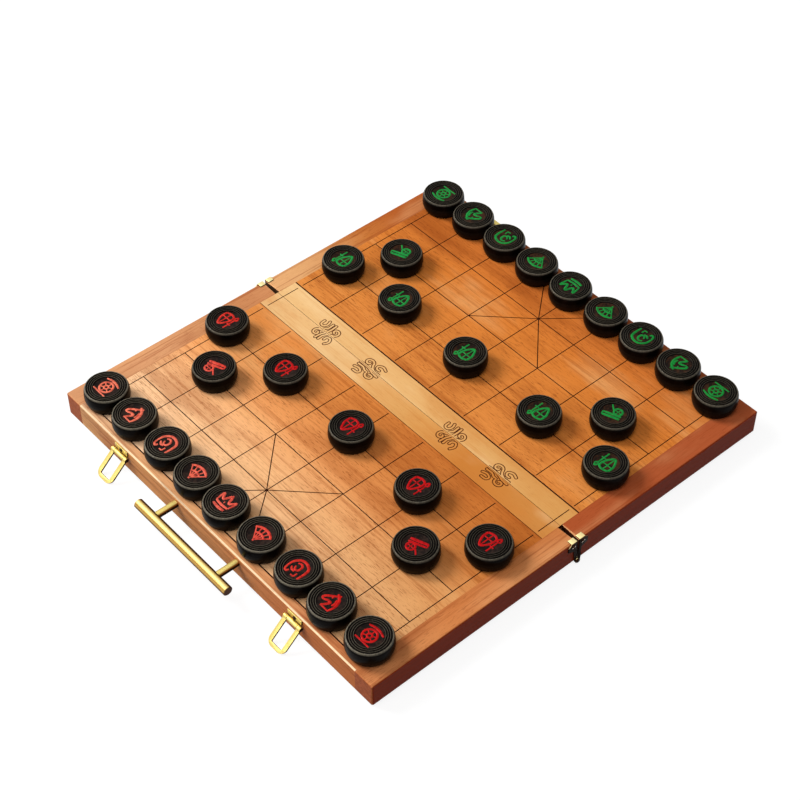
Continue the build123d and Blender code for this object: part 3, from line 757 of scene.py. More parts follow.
@dataclass(frozen=True)
class EbonyFinish(Finish):
    """Waxed black wood of the men, with a painted grey highlight where the mesh's wear attribute says so."""

    name: str = "ebony_polish"
    black: Colour = (0.0016, 0.0010, 0.0008)
    brown: Colour = (0.0070, 0.0036, 0.0026)
    # Painted highlight: the grey of the lit rims and rings.
    painted_gleam: Colour = (0.170, 0.146, 0.104)
    roughness: float = 0.26

    def surface(self, graph: Graph) -> dict[str, Any]:
        """Black and brown clouds, under a painted highlight that breaks into patches.

        Args:
            graph: the material's own graph.

        Returns:
            A value for each of the shader's inputs.
        """
        cloud = graph.noise((9, 9, 9), 3, 0.6)
        sheen_breakup = graph.noise((1.6, 1.6, 1.6), 4, 0.65, (2, 5, 1))
        pores = graph.noise((0.5, 0.5, 2.2), 2, 0.6)
        # The wear attribute holds the strength of the painted highlight.
        painted_sheen = graph.value("ShaderNodeAttribute", out="Fac", attribute_name="wear")
        colour = graph.mix(graph.smooth(cloud, 0.45, 0.75), self.black, self.brown)
        sheen_share = painted_sheen * (graph.smooth(sheen_breakup, 0.25, 0.62) * 0.6 + 0.4)
        return {
            "Base Color": graph.mix(sheen_share, colour, self.painted_gleam),
            "Roughness": self.roughness + graph.smooth(cloud, 0.35, 0.8) * 0.12,
            "Coat Weight": painted_sheen * 0.36,
            "Coat Roughness": 0.22,
            "Normal": graph.bump(pores, 0.012, 0.35),
            "Specular IOR Level": DULL,
        }


@dataclass(frozen=True)
class DishFinish(Finish):
    """Bare dark floor of a man's dish, mottled with old polish."""

    dark: Colour
    brown: Colour
    share: float

    def surface(self, graph: Graph) -> dict[str, Any]:
        """Fine and broad mottling.

        Args:
            graph: the material's own graph.

        Returns:
            A value for each of the shader's inputs.
        """
        mottle = graph.noise((2.1, 2.1, 2.1), 4, 0.65)
        broad = graph.noise((7, 7, 7), 2, 0.5, (4, 4, 4))
        share = graph.smooth(mottle * 0.6 + broad * 0.4, 0.42, 0.62) * self.share
        return {
            "Base Color": graph.mix(share, self.dark, self.brown),
            "Roughness": 0.36 + mottle * 0.3,
            "Normal": graph.bump(mottle, 0.16, 0.6),
            "Specular IOR Level": 0.05,
        }


@dataclass(frozen=True)
class PaintFinish(Finish):
    """Thick enamel of an emblem, its tones given along the river.

    Each millimetre towards the red side moves a tone on by the slant.
    """

    drift: Stops
    deep: Colour
    slant: float = 2.0

    def surface(self, graph: Graph) -> dict[str, Any]:
        """The drift, with deeper patches.

        Args:
            graph: the material's own graph.

        Returns:
            A value for each of the shader's inputs.
        """
        patch = graph.noise((3.2, 3.2, 3.2), 3, 0.6)
        along, river, _ = graph.parts(graph.place())
        colour = graph.drift(river - along * self.slant, self.drift)
        return {
            "Base Color": graph.mix(graph.smooth(patch, 0.4, 0.72) * 0.7, colour, self.deep),
            "Roughness": 0.3 + patch * 0.15,
            "Normal": graph.bump(patch, 0.08, 0.4),
            "Specular IOR Level": 0.07,
        }


@dataclass(frozen=True)
class BrassFinish(Finish):
    """Yellow brass with painted shade: browned on faces that look down, along -Y or towards +X, near black
    where deepest.
    """

    bright: Colour = tint(212, 192, 114)
    warm: Colour = tint(192, 162, 84)
    # Painted shade colours: brown for faces turned from the light, dark for the deepest.
    brown: Colour = tint(150, 88, 32)
    dark: Colour = tint(34, 18, 8)
    shade_side: float = 1.0
    shade_back: float = 1.0
    top_only: bool = False
    roughness: float = 0.46

    def surface(self, graph: Graph) -> dict[str, Any]:
        """Brushed metal under stains and painted shade, which turns to a dull near-black where it is
        deepest.

        Args:
            graph: the material's own graph.

        Returns:
            A value for each of the shader's inputs.
        """
        brush = graph.noise((0.3, 9, 0.3), 2, 0.6)
        stain = graph.noise((5, 5, 5), 4, 0.65, (1, 2, 3))
        face_x, face_y, face_z = graph.facing()
        # Painted shade: faces that look along -Y, down or towards +X darken.
        side = graph.smooth(face_y * -1.0, 0.45, 1.02)
        under = graph.smooth(face_z * -1.0, 0.06, 0.5)
        inner = graph.smooth(face_x, 0.34, 0.6)
        back = graph.maths("MAXIMUM", under, inner) * self.shade_back
        brass_shade = graph.maths("MAXIMUM", side, back) * self.shade_side
        # Strap brass: only faces that look up stay bright; the rest carry painted shade.
        if self.top_only:
            brass_shade = graph.smooth(face_z, 0.92, 0.5)
        # Where the painted shade is deepest the brass turns to a dull, non-metal near-black.
        deepest_shade = graph.smooth(brass_shade, 0.7, 0.98)
        colour = graph.mix(graph.smooth(stain, 0.46, 0.74) * 0.6, self.bright, self.warm)
        colour = graph.mix(graph.smooth(brass_shade, 0.0, 0.62), colour, self.brown)
        return {
            "Base Color": graph.mix(deepest_shade, colour, self.dark),
            "Roughness": self.roughness + graph.smooth(stain, 0.4, 0.8) * 0.16 + (brush - 0.5) * 0.08,
            "Metallic": 1.0 - deepest_shade * 0.97,
            "Specular IOR Level": DULL,
            "Normal": graph.bump(brush, 0.02, 0.25),
        }


@dataclass(frozen=True)
class BarFinish(Finish):
    """Brass of a bar along the river, its painted highlight, painted reflections and painted shade given as
    tones round the bar from +X over the top, in degrees.
    """

    painted_round_tones: Stops
    # Painted shade of the end faces.
    end: Colour
    roughness: float = 0.5

    def surface(self, graph: Graph) -> dict[str, Any]:
        """The tones round the bar, wandering a little along it.

        Args:
            graph: the material's own graph.

        Returns:
            A value for each of the shader's inputs.
        """
        face_x, face_y, face_z = graph.facing()
        turn = graph.maths("ARCTAN2", face_z, face_x) * (1 / (2 * math.pi)) + 1.0
        wander = (graph.noise((2, 34, 2), 2, 0.5) - 0.5) * 0.014
        stops = [(angle / 360, tone) for angle, tone in self.painted_round_tones]
        colour = graph.ramp(graph.maths("FRACT", turn) + wander, stops)
        # Painted shade: faces that look along -Y take the dark end colour.
        colour = graph.mix(graph.smooth(face_y * -1.0, 0.5, 0.95), colour, self.end)
        return {"Base Color": colour, "Roughness": self.roughness, "Metallic": 1.0}


@dataclass(frozen=True)
class InkFinish(Finish):
    """Brown stain worked into a thin engraved outline."""

    name: str = "outline_stain"
    brown: Colour = tint(70, 30, 10)
    thin: Colour = tint(104, 54, 22)

    def surface(self, graph: Graph) -> dict[str, Any]:
        """The stain, thinner in patches.

        Args:
            graph: the material's own graph.

        Returns:
            A value for each of the shader's inputs.
        """
        wear = graph.noise((2.5, 2.5, 2.5), 3, 0.6)
        colour = graph.mix(graph.smooth(wear, 0.4, 0.7), self.brown, self.thin)
        return {"Base Color": colour, "Roughness": 0.5 + wear * 0.1, "Specular IOR Level": DULL}


def case_woods() -> dict[str, Finish]:
    """The woods of the case, under the short names that the board uses.

    Returns:
        The finishes by their short names.
    """
    along = {"grain": Grain.ALONG_RIVER}
    panel = along | {
        "deep": tint(156, 76, 26), "fleck": tint(128, 58, 20), "pale": tint(236, 178, 116),
        "line_paint": tint(48, 18, 8), "fleck_share": 0.6, "figure_share": 0.38,
    }
    river = along | {
        "line_paint": tint(84, 36, 14), "drift_axis": 1, "fleck": tint(176, 104, 46),
        "pale": tint(246, 210, 156), "fleck_share": 0.22, "figure_share": 0.3, "cloud_size": 40.0,
    }
    rail = {
        "deep": tint(146, 64, 26), "fleck": tint(116, 46, 18), "pale": tint(232, 170, 116),
        "fleck_share": 0.4,
    }
    end_rail = along | rail | {"drift_axis": 1, "cloud_size": 50.0}
    left = {"axis": 0, "middle": SEAM_X}
    side_rail = rail | {
        "grain": Grain.ACROSS_RIVER,
        "stain_and_light_faces": (
            # Partly the rails' darker stain, partly painted shade: the outer long faces turn deep red-brown,
            # as the front face looks in its shade.
            StainAndLightFace(axis=1, middle=0.0, past=183.0, colour=tint(150, 48, 12)),
            StainAndLightFace(**left, past=195.2, colour=tint(176, 92, 52)),
        ),
    }
    outer = (
        # Multiplies the outer end face's tones by a warmer, darker colour.
        StainAndLightFace(**left, past=195.2, colour=(1.0, 0.84, 0.60), wash=True),
        # Painted highlight: a near-white band along the upper edge of the outer end face, where the arris
        # catches the light.
        StainAndLightFace(**left, past=194.0, above=23.4, colour=tint(255, 226, 184)),
    )
    return {
        # Painted sheen on the red field: the drift pales towards -X and the river sheen pales the back, over
        # the wood's own tone.
        "red_field": WoodFinish(
            "red_field_beech", **panel, river_sheen=((0.86, 0.77, 0.66), (1.18, 1.28, 1.50)),
            drift=tones(
                (-180, 246, 198, 150), (-118, 240, 183, 125), (-78, 227, 150, 86), (-40, 214, 132, 64),
                (-5, 208, 124, 55),
            ),
        ),
        "green_field": WoodFinish(
            "green_field_beech", **panel, seed=4.0, cloud_share=0.6,
            drift=tones((20, 227, 144, 70), (70, 222, 135, 61), (130, 219, 128, 53), (205, 206, 111, 49)),
        ),
        "red_river": WoodFinish(
            "red_river_maple", **river, deep=tint(204, 126, 56),
            drift=tones(
                (-170, 209, 142, 74), (-100, 203, 129, 58), (-70, 203, 127, 56), (-20, 220, 160, 91),
                (170, 235, 193, 136),
            ),
        ),
        "green_river": WoodFinish(
            "green_river_maple", **river, deep=tint(208, 136, 66), seed=6.0,
            drift=tones((-170, 215, 156, 87), (0, 229, 178, 114), (170, 234, 190, 131)),
        ),
        "front_rail": WoodFinish(
            "front_rail_beech", **side_rail, seed=1.0,
            drift=tones(
                (-190, 214, 140, 88), (-140, 216, 142, 86), (-100, 208, 128, 72), (8.8, 204, 125, 70),
                (9.9, 174, 84, 45), (205, 178, 89, 51),
            ),
        ),
        "back_rail": WoodFinish(
            "back_rail_beech", **side_rail, seed=2.0,
            drift=tones(
                (-190, 207, 148, 106), (-100, 216, 156, 110), (-40, 206, 142, 94), (6, 192, 124, 80),
                (10.5, 224, 172, 118), (40, 222, 168, 112), (110, 196, 116, 54), (150, 180, 94, 41),
                (205, 178, 92, 41),
            ),
        ),
        # The drift pales towards +Y: partly the wood's own tone, partly a painted sheen on the top.
        "red_end_rail": WoodFinish(
            "red_end_rail_beech", **end_rail, seed=3.0, stain_and_light_faces=outer,
            drift=tones(
                (-180, 198, 121, 71), (-100, 208, 132, 85), (0, 218, 157, 106), (100, 226, 169, 120),
                (180, 231, 188, 148),
            ),
        ),
        "green_end_rail": WoodFinish(
            "green_end_rail_beech", **end_rail, seed=5.0,
            drift=tones((-180, 159, 78, 41), (180, 181, 99, 52)),
        ),
        "spine": WoodFinish(
            "spine_beech", **along, **rail, drift_axis=1, seed=8.0,
            drift=tones((-180, 206, 132, 76), (180, 214, 144, 88)),
        ),
        "foot": WoodFinish(
            "foot_walnut", **along, deep=tint(60, 32, 18), fleck=tint(40, 20, 12), pale=tint(110, 66, 40),
            drift=tones((-180, 88, 50, 30), (180, 92, 54, 32)),
        ),
    }


def other_finishes() -> dict[str, Finish]:
    """The finishes of the men, the brass and the river's outlines.

    Returns:
        The finishes by their short names.
    """
    return {
        "ebony": EbonyFinish(),
        "red_dish": DishFinish("red_dish_floor", (0.006, 0.0036, 0.0030), tint(64, 46, 38), 0.5),
        "green_dish": DishFinish("green_dish_floor", (0.007, 0.0040, 0.0026), tint(76, 46, 28), 0.55),
        "red_paint": PaintFinish(
            "red_enamel", deep=tint(134, 6, 10),
            drift=tones(
                (125, 188, 14, 18), (200, 198, 24, 20), (262, 214, 50, 38), (330, 228, 94, 76),
                (480, 234, 118, 90),
            ),
        ),
        "green_paint": PaintFinish(
            "green_enamel", deep=tint(12, 96, 40), drift=tones((-500, 18, 134, 50), (110, 28, 148, 66)),
        ),
        "brass": BrassFinish("polished_brass"),
        "bail_brass": BrassFinish("bail_brass", shade_back=0.4),
        "plain_brass": BrassFinish("plain_brass", shade_side=0.0),
        # Painted shade: only the straps' upward faces stay bright; faces that look elsewhere are browned and
        # blackened.
        "strap_brass": BrassFinish(
            "strap_brass", tint(232, 216, 160), tint(214, 192, 128), tint(96, 52, 22), tint(26, 13, 7),
            top_only=True,
        ),
        # Painted shade: brass coloured near black-brown all over, for the small pins, rivets and screws that
        # sit in shade.
        "shade_dark_brass": BrassFinish(
            "browned_brass", tint(58, 34, 20), tint(44, 24, 13), tint(40, 22, 12), roughness=0.42,
        ),
        # Painted highlight: near-white metal for the screws' slot floors, standing in for the glint on each
        # head.
        "slot_glint": BrassFinish("rubbed_steel", tint(250, 244, 232), tint(236, 226, 208), shade_side=0.0),
        # Painted light round the bar: a pale highlight band over the top, a dark reflection line near 134
        # degrees, and near black at +X, -X and below.
        "bar_brass": BarFinish(
            "bar_brass", end=tint(58, 28, 10),
            painted_round_tones=tones(
                (0, 50, 28, 8), (58, 70, 38, 12), (68, 142, 98, 44), (80, 204, 176, 108),
                (96, 206, 180, 116), (129, 186, 156, 90), (134, 122, 80, 34), (140, 172, 138, 70),
                (160, 192, 154, 80), (170, 112, 68, 24), (182, 60, 32, 10), (359, 50, 28, 8),
            ),
        ),
        "stain": InkFinish(),
    }


Finishes = dict[str, bpy.types.Material]


# ------------------------------------------------------------------------------------ turned pieces
@dataclass
class Turning:
    """Geometry Nodes lathe: spins an outline about an upright axis and sets the piece down at places.

    The outline is a chain of (radius, height) points from the foot on the axis to the top on the
    axis. Each place has a turn, as Euler angles. A slot may be sawn across the top.
    """

    segments: int = 64
    hoop: float = 10.0
    slotted: bool = False
    tree: bpy.types.NodeTree = field(init=False)

    def __post_init__(self) -> None:
        """Builds the tree."""
        title = "slotted_turning" if self.slotted else "turning"
        self.tree = bpy.data.node_groups.new(title, "GeometryNodeTree")
        face = self.tree.interface
        face.new_socket("Geometry", in_out="OUTPUT", socket_type="NodeSocketGeometry")
        kinds = {
            "Outline": "Geometry",
            "Places": "Object",
            "Segments": "Int",
            "Hoop Radius": "Float",
            "Material": "Material",
            "Slot Size": "Vector",
            "Slot Height": "Float",
        }
        for name, kind in kinds.items():
            face.new_socket(name, in_out="INPUT", socket_type="NodeSocket" + kind)
        graph = Graph(self.tree)
        own = graph.node("NodeGroupInput").outputs
        given = {name: Value(graph, own[name]) for name in kinds}

        def add(kind: str, inputs: dict[Any, Any], **settings: Any) -> Value:
            """Adds one geometry node, and takes its first output."""
            return graph.value("GeometryNode" + kind, inputs, **settings)

        hoop = add("CurvePrimitiveCircle", {"Resolution": given["Segments"], "Radius": given["Hoop Radius"]})
        hoop = add("SetCurveNormal", {"Curve": hoop}, mode="Z_UP")
        outline = add("MeshToCurve", {"Mesh": given["Outline"]})
        spun = add("CurveToMesh", {"Curve": hoop, "Profile Curve": outline})
        piece = add("MergeByDistance", {"Geometry": spun, "Distance": 1e-6})
        if self.slotted:
            lift = graph.value("ShaderNodeCombineXYZ", {"Z": given["Slot Height"]})
            block = add("MeshCube", {"Size": given["Slot Size"]})
            saw = add("Transform", {"Geometry": block, "Translation": lift})
            cut = {"Mesh 1": piece, "Mesh 2": saw}
            piece = add("MeshBoolean", cut, operation="DIFFERENCE", solver="EXACT")
        places = graph.value("GeometryNodeObjectInfo", {"Object": given["Places"]}, "Geometry")
        turn = add("InputNamedAttribute", {"Name": "turn"}, data_type="FLOAT_VECTOR")
        points = add("MeshToPoints", {"Mesh": places})
        copies = add("InstanceOnPoints", {"Points": points, "Instance": piece, "Rotation": turn})
        real = add("RealizeInstances", {"Geometry": copies})
        painted = add("SetMaterial", {"Geometry": real, "Material": given["Material"]})
        graph.node("NodeGroupOutput", {0: painted})

    def run(
        self,
        name: str,
        outline: Path,
        places: Sequence[Sequence[float]],
        material: bpy.types.Material,
        turns: Sequence[Sequence[float]] | None = None,
        slot: tuple[float, float, float, float] = (0.0, 0.0, 0.0, 0.0),
        crease: float = 30.0,
    ) -> bpy.types.Mesh:
        """Turns one outline at every place.

        Args:
            name: name of the mesh.
            outline: (radius, height) points in millimetres, from the axis round to the axis.
            places: where the foot of each copy stands, in millimetres.
            material: what it is made of.
            turns: Euler angles of each copy, in radians.
            slot: the saw's length, width and depth, and its height above the foot, in millimetres.
            crease: edges sharper than this many degrees stay sharp.

        Returns:
            One plain mesh, in place.
        """
        chain = [(radius - self.hoop, -height, 0.0) for radius, height in outline]
        links = [(i, i + 1) for i in range(len(chain) - 1)]
        base = new_piece(name + "_outline", mesh_from(name, chain, links))
        spots = mesh_from(name + "_places", places)
        turned = spots.attributes.new("turn", "FLOAT_VECTOR", "POINT")
        for i, angles in enumerate(turns or [(0.0, 0.0, 0.0)] * len(places)):
            turned.data[i].vector = angles
        marks = new_piece(name + "_marks", spots)
        modifier = base.modifiers.new("turning", "NODES")
        modifier.node_group = self.tree
        values = {
            "Places": marks,
            "Segments": self.segments,
            "Hoop Radius": self.hoop * MM,
            "Material": material,
            "Slot Size": tuple(size * MM for size in slot[:3]),
            "Slot Height": slot[3] * MM,
        }
        for item in self.tree.interface.items_tree:
            if item.in_out == "INPUT" and item.name in values:
                modifier[item.identifier] = values[item.name]
        mesh = plain_mesh(name, base)
        bpy.data.objects.remove(marks)
        put_right(mesh)
        mesh.polygons.foreach_set("material_index", [0] * len(mesh.polygons))
        dressed(mesh, material)
        shade(mesh, crease)
        return mesh


def beads(
    name: str,
    paths: Sequence[Path],
    widths: Sequence[Sequence[float]],
    flatness: float,
    closed: bool = False,
) -> bpy.types.Mesh:
    """Soft raised strokes on the plane Z = 0, round in section and pressed flat.

    Args:
        name: name of the mesh.
        paths: the middle line of each stroke, in millimetres.
        widths: the stroke's width at each of its points, in millimetres.
        flatness: height of the bead over its half width.
        closed: whether each stroke runs back into its start.

    Returns:
        One mesh, in metres.
    """
    curve = bpy.data.curves.new(name, "CURVE")
    curve.dimensions = "3D"
    curve.bevel_depth = 1.0
    curve.bevel_resolution = 1
    curve.use_fill_caps = True
    for path, breadths in zip(paths, widths):
        spline = curve.splines.new("POLY")
        spline.points.add(len(path) - 1)
        for point, (x, y), breadth in zip(spline.points, path, breadths):
            point.co = (x * MM, y * MM, 0.0, 1.0)
            point.radius = breadth * MM / 2
        spline.use_cyclic_u = closed
    mesh = plain_mesh(name, new_piece(name, curve))
    bpy.data.curves.remove(curve)
    mesh.transform(Matrix.Diagonal((1.0, 1.0, flatness, 1.0)))
    put_right(mesh, 1e-7)
    shade(mesh, 50)
    return mesh


# ------------------------------------------------------------------------------------ men
class Emblem(Enum):
    """What is painted in a man's dish."""

    CHARIOT = "chariot"
    HORSE = "horse"
    ELEPHANT = "elephant"
    ADVISOR = "advisor"
    GENERAL = "general"
    CANNON = "cannon"
    SOLDIER = "soldier"


FAN_FOOT = (0, -8.0)

# Each emblem's brush strokes, upright, as (points, width) in millimetres.
STROKES: dict[Emblem, list[tuple[Path, float]]] = {
    Emblem.CHARIOT: [
        (arc((0, 0), 6.4, 0, 360, 28), 1.5),
        (arc((0, 0), 2.2, 0, 360, 14), 1.3),
        *[([polar(2.2, a), polar(6.4, a)], 1.2) for a in range(30, 390, 60)],
        ([(-8.8, 7.2), (-4.0, 8.6), (0, 9.0), (4.0, 8.6), (8.8, 7.2)], 1.5),
        ([(-8.4, -8.2), (8.4, -8.2)], 1.6),
    ],
    Emblem.HORSE: [
        ([(5.6, -8.6), (6.6, -2.0), (4.6, 4.2), (0.6, 7.6), (-1.4, 8.8)], 1.7),
        ([(0.6, 7.2), (-3.4, 4.0), (-7.4, 0.2), (-8.2, -2.4), (-6.0, -3.4)], 1.6),
        ([(-6.0, -3.4), (-2.6, -1.6), (0.6, -1.8), (-0.6, -5.0), (-3.4, -8.8)], 1.6),
        ([(1.8, 9.4), (2.4, 6.6)], 1.4),
        ([(-2.4, 3.2), (-1.2, 2.8)], 1.6),
        ([(2.4, 4.0), (4.0, 0.6), (3.8, -3.2)], 1.2),
        ([(-3.8, -8.8), (6.2, -8.8)], 1.6),
    ],
    Emblem.ELEPHANT: [
        ([(-8.8, -4.0), (-8.0, 2.8), (-3.6, 7.6), (2.4, 8.0), (7.4, 4.8), (8.4, -1.0), (8.0, -8.6)], 1.7),
        ([(-8.8, -4.0), (-7.6, -8.2), (-5.2, -8.8), (-4.4, -6.6)], 1.5),
        ([(-4.0, 3.2), (-1.0, 4.6), (1.8, 2.6), (1.6, -2.0), (-1.4, -2.6), (-3.2, 0.2)], 1.4),
        ([(-5.6, -2.2), (-3.0, -4.6), (0.2, -4.4)], 1.3),
        ([(3.6, -8.8), (3.8, -4.6)], 1.6),
        ([(0.4, -8.8), (3.6, -8.8)], 1.4),
    ],
    Emblem.ADVISOR: [
        *[([FAN_FOOT, arc(FAN_FOOT, 13.6, a, a, 1)[0]], 1.3) for a in (50, 70, 90, 110, 130)],
        (arc(FAN_FOOT, 14.4, 46, 134, 14), 1.7),
        (arc(FAN_FOOT, 8.2, 48, 132, 10), 1.3),
        ([FAN_FOOT, (0.4, -9.6)], 1.8),
    ],
    Emblem.GENERAL: [
        ([(-7.6, -3.6), (-8.4, 5.8), (-3.8, 0.6), (0, 8.0), (3.8, 0.6), (8.4, 5.8), (7.6, -3.6)], 1.6),
        ([(-7.6, -3.8), (0, -4.6), (7.6, -3.8)], 1.6),
        ([(-7.0, -7.6), (0, -8.4), (7.0, -7.6)], 1.8),
        ([(-0.4, -1.2), (0.4, -1.2)], 2.2),
        ([(0, 8.0), (0, 9.2)], 1.8),
    ],
    Emblem.CANNON: [
        ([(-8.4, 1.4), (-2.0, 3.8), (7.6, 7.6)], 2.0),
        ([(-7.6, -1.6), (-1.6, 0.4), (8.6, 4.4)], 1.6),
        ([(7.6, 7.8), (8.8, 4.2)], 1.4),
        (arc((-1.6, -4.4), 4.0, 0, 360, 20), 1.5),
        ([(-1.6, -0.6), (-1.6, -8.2)], 1.1),
        ([(-5.4, -4.4), (2.2, -4.4)], 1.1),
        ([(3.0, -3.4), (8.4, -7.6)], 1.6),
    ],
    Emblem.SOLDIER: [
        ([(5.0, -9.2), (5.0, 5.2)], 1.6),
        ([(5.0, 5.2), (3.4, 6.6), (5.0, 9.6), (6.6, 6.6), (5.0, 5.2)], 1.3),
        ([(-8.4, 6.4), (-3.2, 8.2), (2.0, 6.4), (1.8, -0.8), (-3.2, -8.4), (-8.2, -0.8), (-8.4, 6.4)], 1.6),
        ([(-3.2, 8.2), (-3.2, -8.4)], 1.3),
        ([(-8.2, 1.8), (1.8, 1.8)], 1.3),
        ([(2.8, -2.4), (7.4, -2.4)], 1.3),
    ],
}


@dataclass
class Man:
    """One turned man with its painted emblem."""

    side: str
    emblem: Emblem
    number: int
    lathe: Turning
    foot_radius: float = 15.6
    belly_radius: float = 18.0
    belly_height: float = 6.5
    shoulder_radius: float = 17.7
    shoulder_height: float = 13.3
    rim_radius: float = 16.3
    height: float = 15.5
    ring_radii: tuple[float, ...] = (14.4, 12.75, 11.1)
    ring_height: float = 0.7
    ring_width: float = 0.8
    ring_crest: float = 0.36
    dish_radius: float = 10.6
    dish_floor_radius: float = 10.3
    dish_depth: float = 1.0
    stroke_height: float = 0.42
    brush: float = 1.16
    emblem_scale: float = 0.85
    # Painted highlight strengths: rim, rings and a faint painted sheen on the belly; men off the red home
    # row get a smaller share.
    rim_sheen: float = 0.9
    ring_sheen: float = 0.42
    belly_sheen: float = 0.03
    dim_sheen_share: float = 0.62
    home_line: float = -130.0

    @property
    def node(self) -> str:
        """The man's name in the model."""
        name = f"{self.side}_{self.emblem.value}"
        return name if self.emblem is Emblem.GENERAL else f"{name}_{self.number}"

    def outline(self) -> Path:
        """The man's turned outline, from the foot to the middle of the dish.

        Returns:
            (radius, height) points in millimetres.
        """
        top = self.height
        land = top - self.ring_height
        barrel = [
            (self.foot_radius + 0.3, 0.35),
            (self.foot_radius + 1.55, 3.0),
            (self.belly_radius, self.belly_height),
            (self.belly_radius, self.belly_height + 2.6),
            (self.shoulder_radius + 0.05, self.shoulder_height - 1.0),
            (self.shoulder_radius - 0.15, self.shoulder_height + 0.1),
        ]
        rounding = [(0.62, 0.5), (0.4, 0.2), (0.1, 0.03), (-0.2, 0.06), (-0.34, 0.3)]
        bevel = [
            (self.shoulder_radius - 0.4, self.shoulder_height + 0.55),
            *[(self.rim_radius + out, top - down) for out, down in rounding],
            (self.rim_radius - 0.4, land),
        ]
        foot, crest = self.ring_width / 2, self.ring_crest / 2
        ring = [(foot, land), (crest, top - 0.06), (0.0, top), (-crest, top - 0.06), (-foot, land)]
        rings = [(radius + out, level) for radius in self.ring_radii for out, level in ring]
        floor = top - self.dish_depth
        dish = [
            (self.dish_radius + 0.12, land),
            (self.dish_radius - 0.1, land - 0.15),
            (self.dish_floor_radius + 0.15, floor + 0.1),
            (self.dish_floor_radius - 0.1, floor),
            (0.0, floor),
        ]
        return [(0.0, 0.0), (self.foot_radius, 0.0), *smoothed(barrel, 4), *bevel, *rings, *dish]

    def build(self, finishes: Finishes) -> None:
        """Turns the man, paints it and attaches both to the man's body.

        Args:
            finishes: the box's materials.
        """
        low, high = box_mm(self.node)
        foot = (low + high) / 2
        foot.z = low.z
        mesh = self.lathe.run(self.node + "_turned", self.outline(), [foot], finishes["ebony"], crease=38)
        mesh.materials.append(finishes[self.side + "_dish"])
        floor = foot.z + self.height - self.dish_depth
        for face in mesh.polygons:
            middle = face.center / MM
            if abs(middle.z - floor) < 0.06 and (middle - foot).xy.length < self.dish_floor_radius:
                face.material_index = 1
        self._paint_sheen(mesh, foot)
        body = self.node + "_man"
        stand_in(mesh, self.node, body)
        self._paint(finishes, foot, floor, body)

    def _paint_sheen(self, mesh: bpy.types.Mesh, foot: Vector) -> None:
        """Marks how much painted highlight each point of the turned man gets, from 0 to 1, in its wear
        attribute.

        Args:
            mesh: the turned man.
            foot: the middle of its foot, in millimetres.
        """
        wear = mesh.attributes.new("wear", "FLOAT", "POINT")
        land = foot.z + self.height - self.ring_height
        # The red home row gets the full painted highlight, the other men a smaller share.
        lit_share = 1.0 if foot.x < self.home_line else self.dim_sheen_share
        for point, mark in zip(mesh.vertices, wear.data):
            spot = point.co / MM
            radius = (spot - foot).xy.length
            if radius > self.rim_radius - 0.3 and spot.z > foot.z + self.shoulder_height + 0.9:
                mark.value = self.rim_sheen * lit_share
            elif spot.z > land + 0.3 and radius > self.dish_radius:
                mark.value = self.ring_sheen * lit_share
            elif abs(spot.z - foot.z - self.belly_height) < 2.7:
                mark.value = self.belly_sheen

    def _paint(self, finishes: Finishes, foot: Vector, floor: float, body: str) -> None:
        """Lays the emblem's strokes on the floor of the dish, thinner at the ends of open ones.

        Args:
            finishes: the box's materials by their short names.
            foot: the middle of the man's foot, in millimetres.
            floor: the height of the dish's floor, in millimetres.
            body: the body that the man moves with.
        """
        paths, widths = [], []
        for points, width in STROKES[self.emblem]:
            path = scaled(smoothed(points, 5), self.emblem_scale)
            count = len(path) - 1
            closed = math.dist(path[0], path[-1]) < 0.01
            shares = [1.0 if closed else 1.12 - 0.42 * abs(2 * i / count - 1) ** 3 for i in range(count + 1)]
            paths.append(path)
            widths.append([self.brush * width * share for share in shares])
        mesh = beads(self.node + "_emblem", paths, widths, self.stroke_height)
        quarter = math.radians(-90 if self.side == "red" else 90)
        move = Matrix.Translation(Vector((foot.x, foot.y, floor)) * MM)
        mesh.transform(move @ Matrix.Rotation(quarter, 4, "Z"))
        dressed(mesh, finishes[self.side + "_paint"])
        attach(new_piece(self.node + "_emblem", mesh), body)


@dataclass
class Men:
    """Both sides' sixteen men."""

    segments: int = 96
    crew: tuple[tuple[Emblem, int], ...] = (
        (Emblem.CHARIOT, 2),
        (Emblem.HORSE, 2),
        (Emblem.ELEPHANT, 2),
        (Emblem.ADVISOR, 2),
        (Emblem.CANNON, 2),
        (Emblem.GENERAL, 1),
        (Emblem.SOLDIER, 5),
    )

    def build(self, finishes: Finishes) -> None:
        """Makes every man.

        Args:
            finishes: the box's materials by their short names.
        """
        lathe = Turning(segments=self.segments)
        for side in SIDES:
            for emblem, count in self.crew:
                for number in range(1, count + 1):
                    Man(side, emblem, number, lathe).build(finishes)
            LOG.info("%s men: %d", side, sum(count for _, count in self.crew))


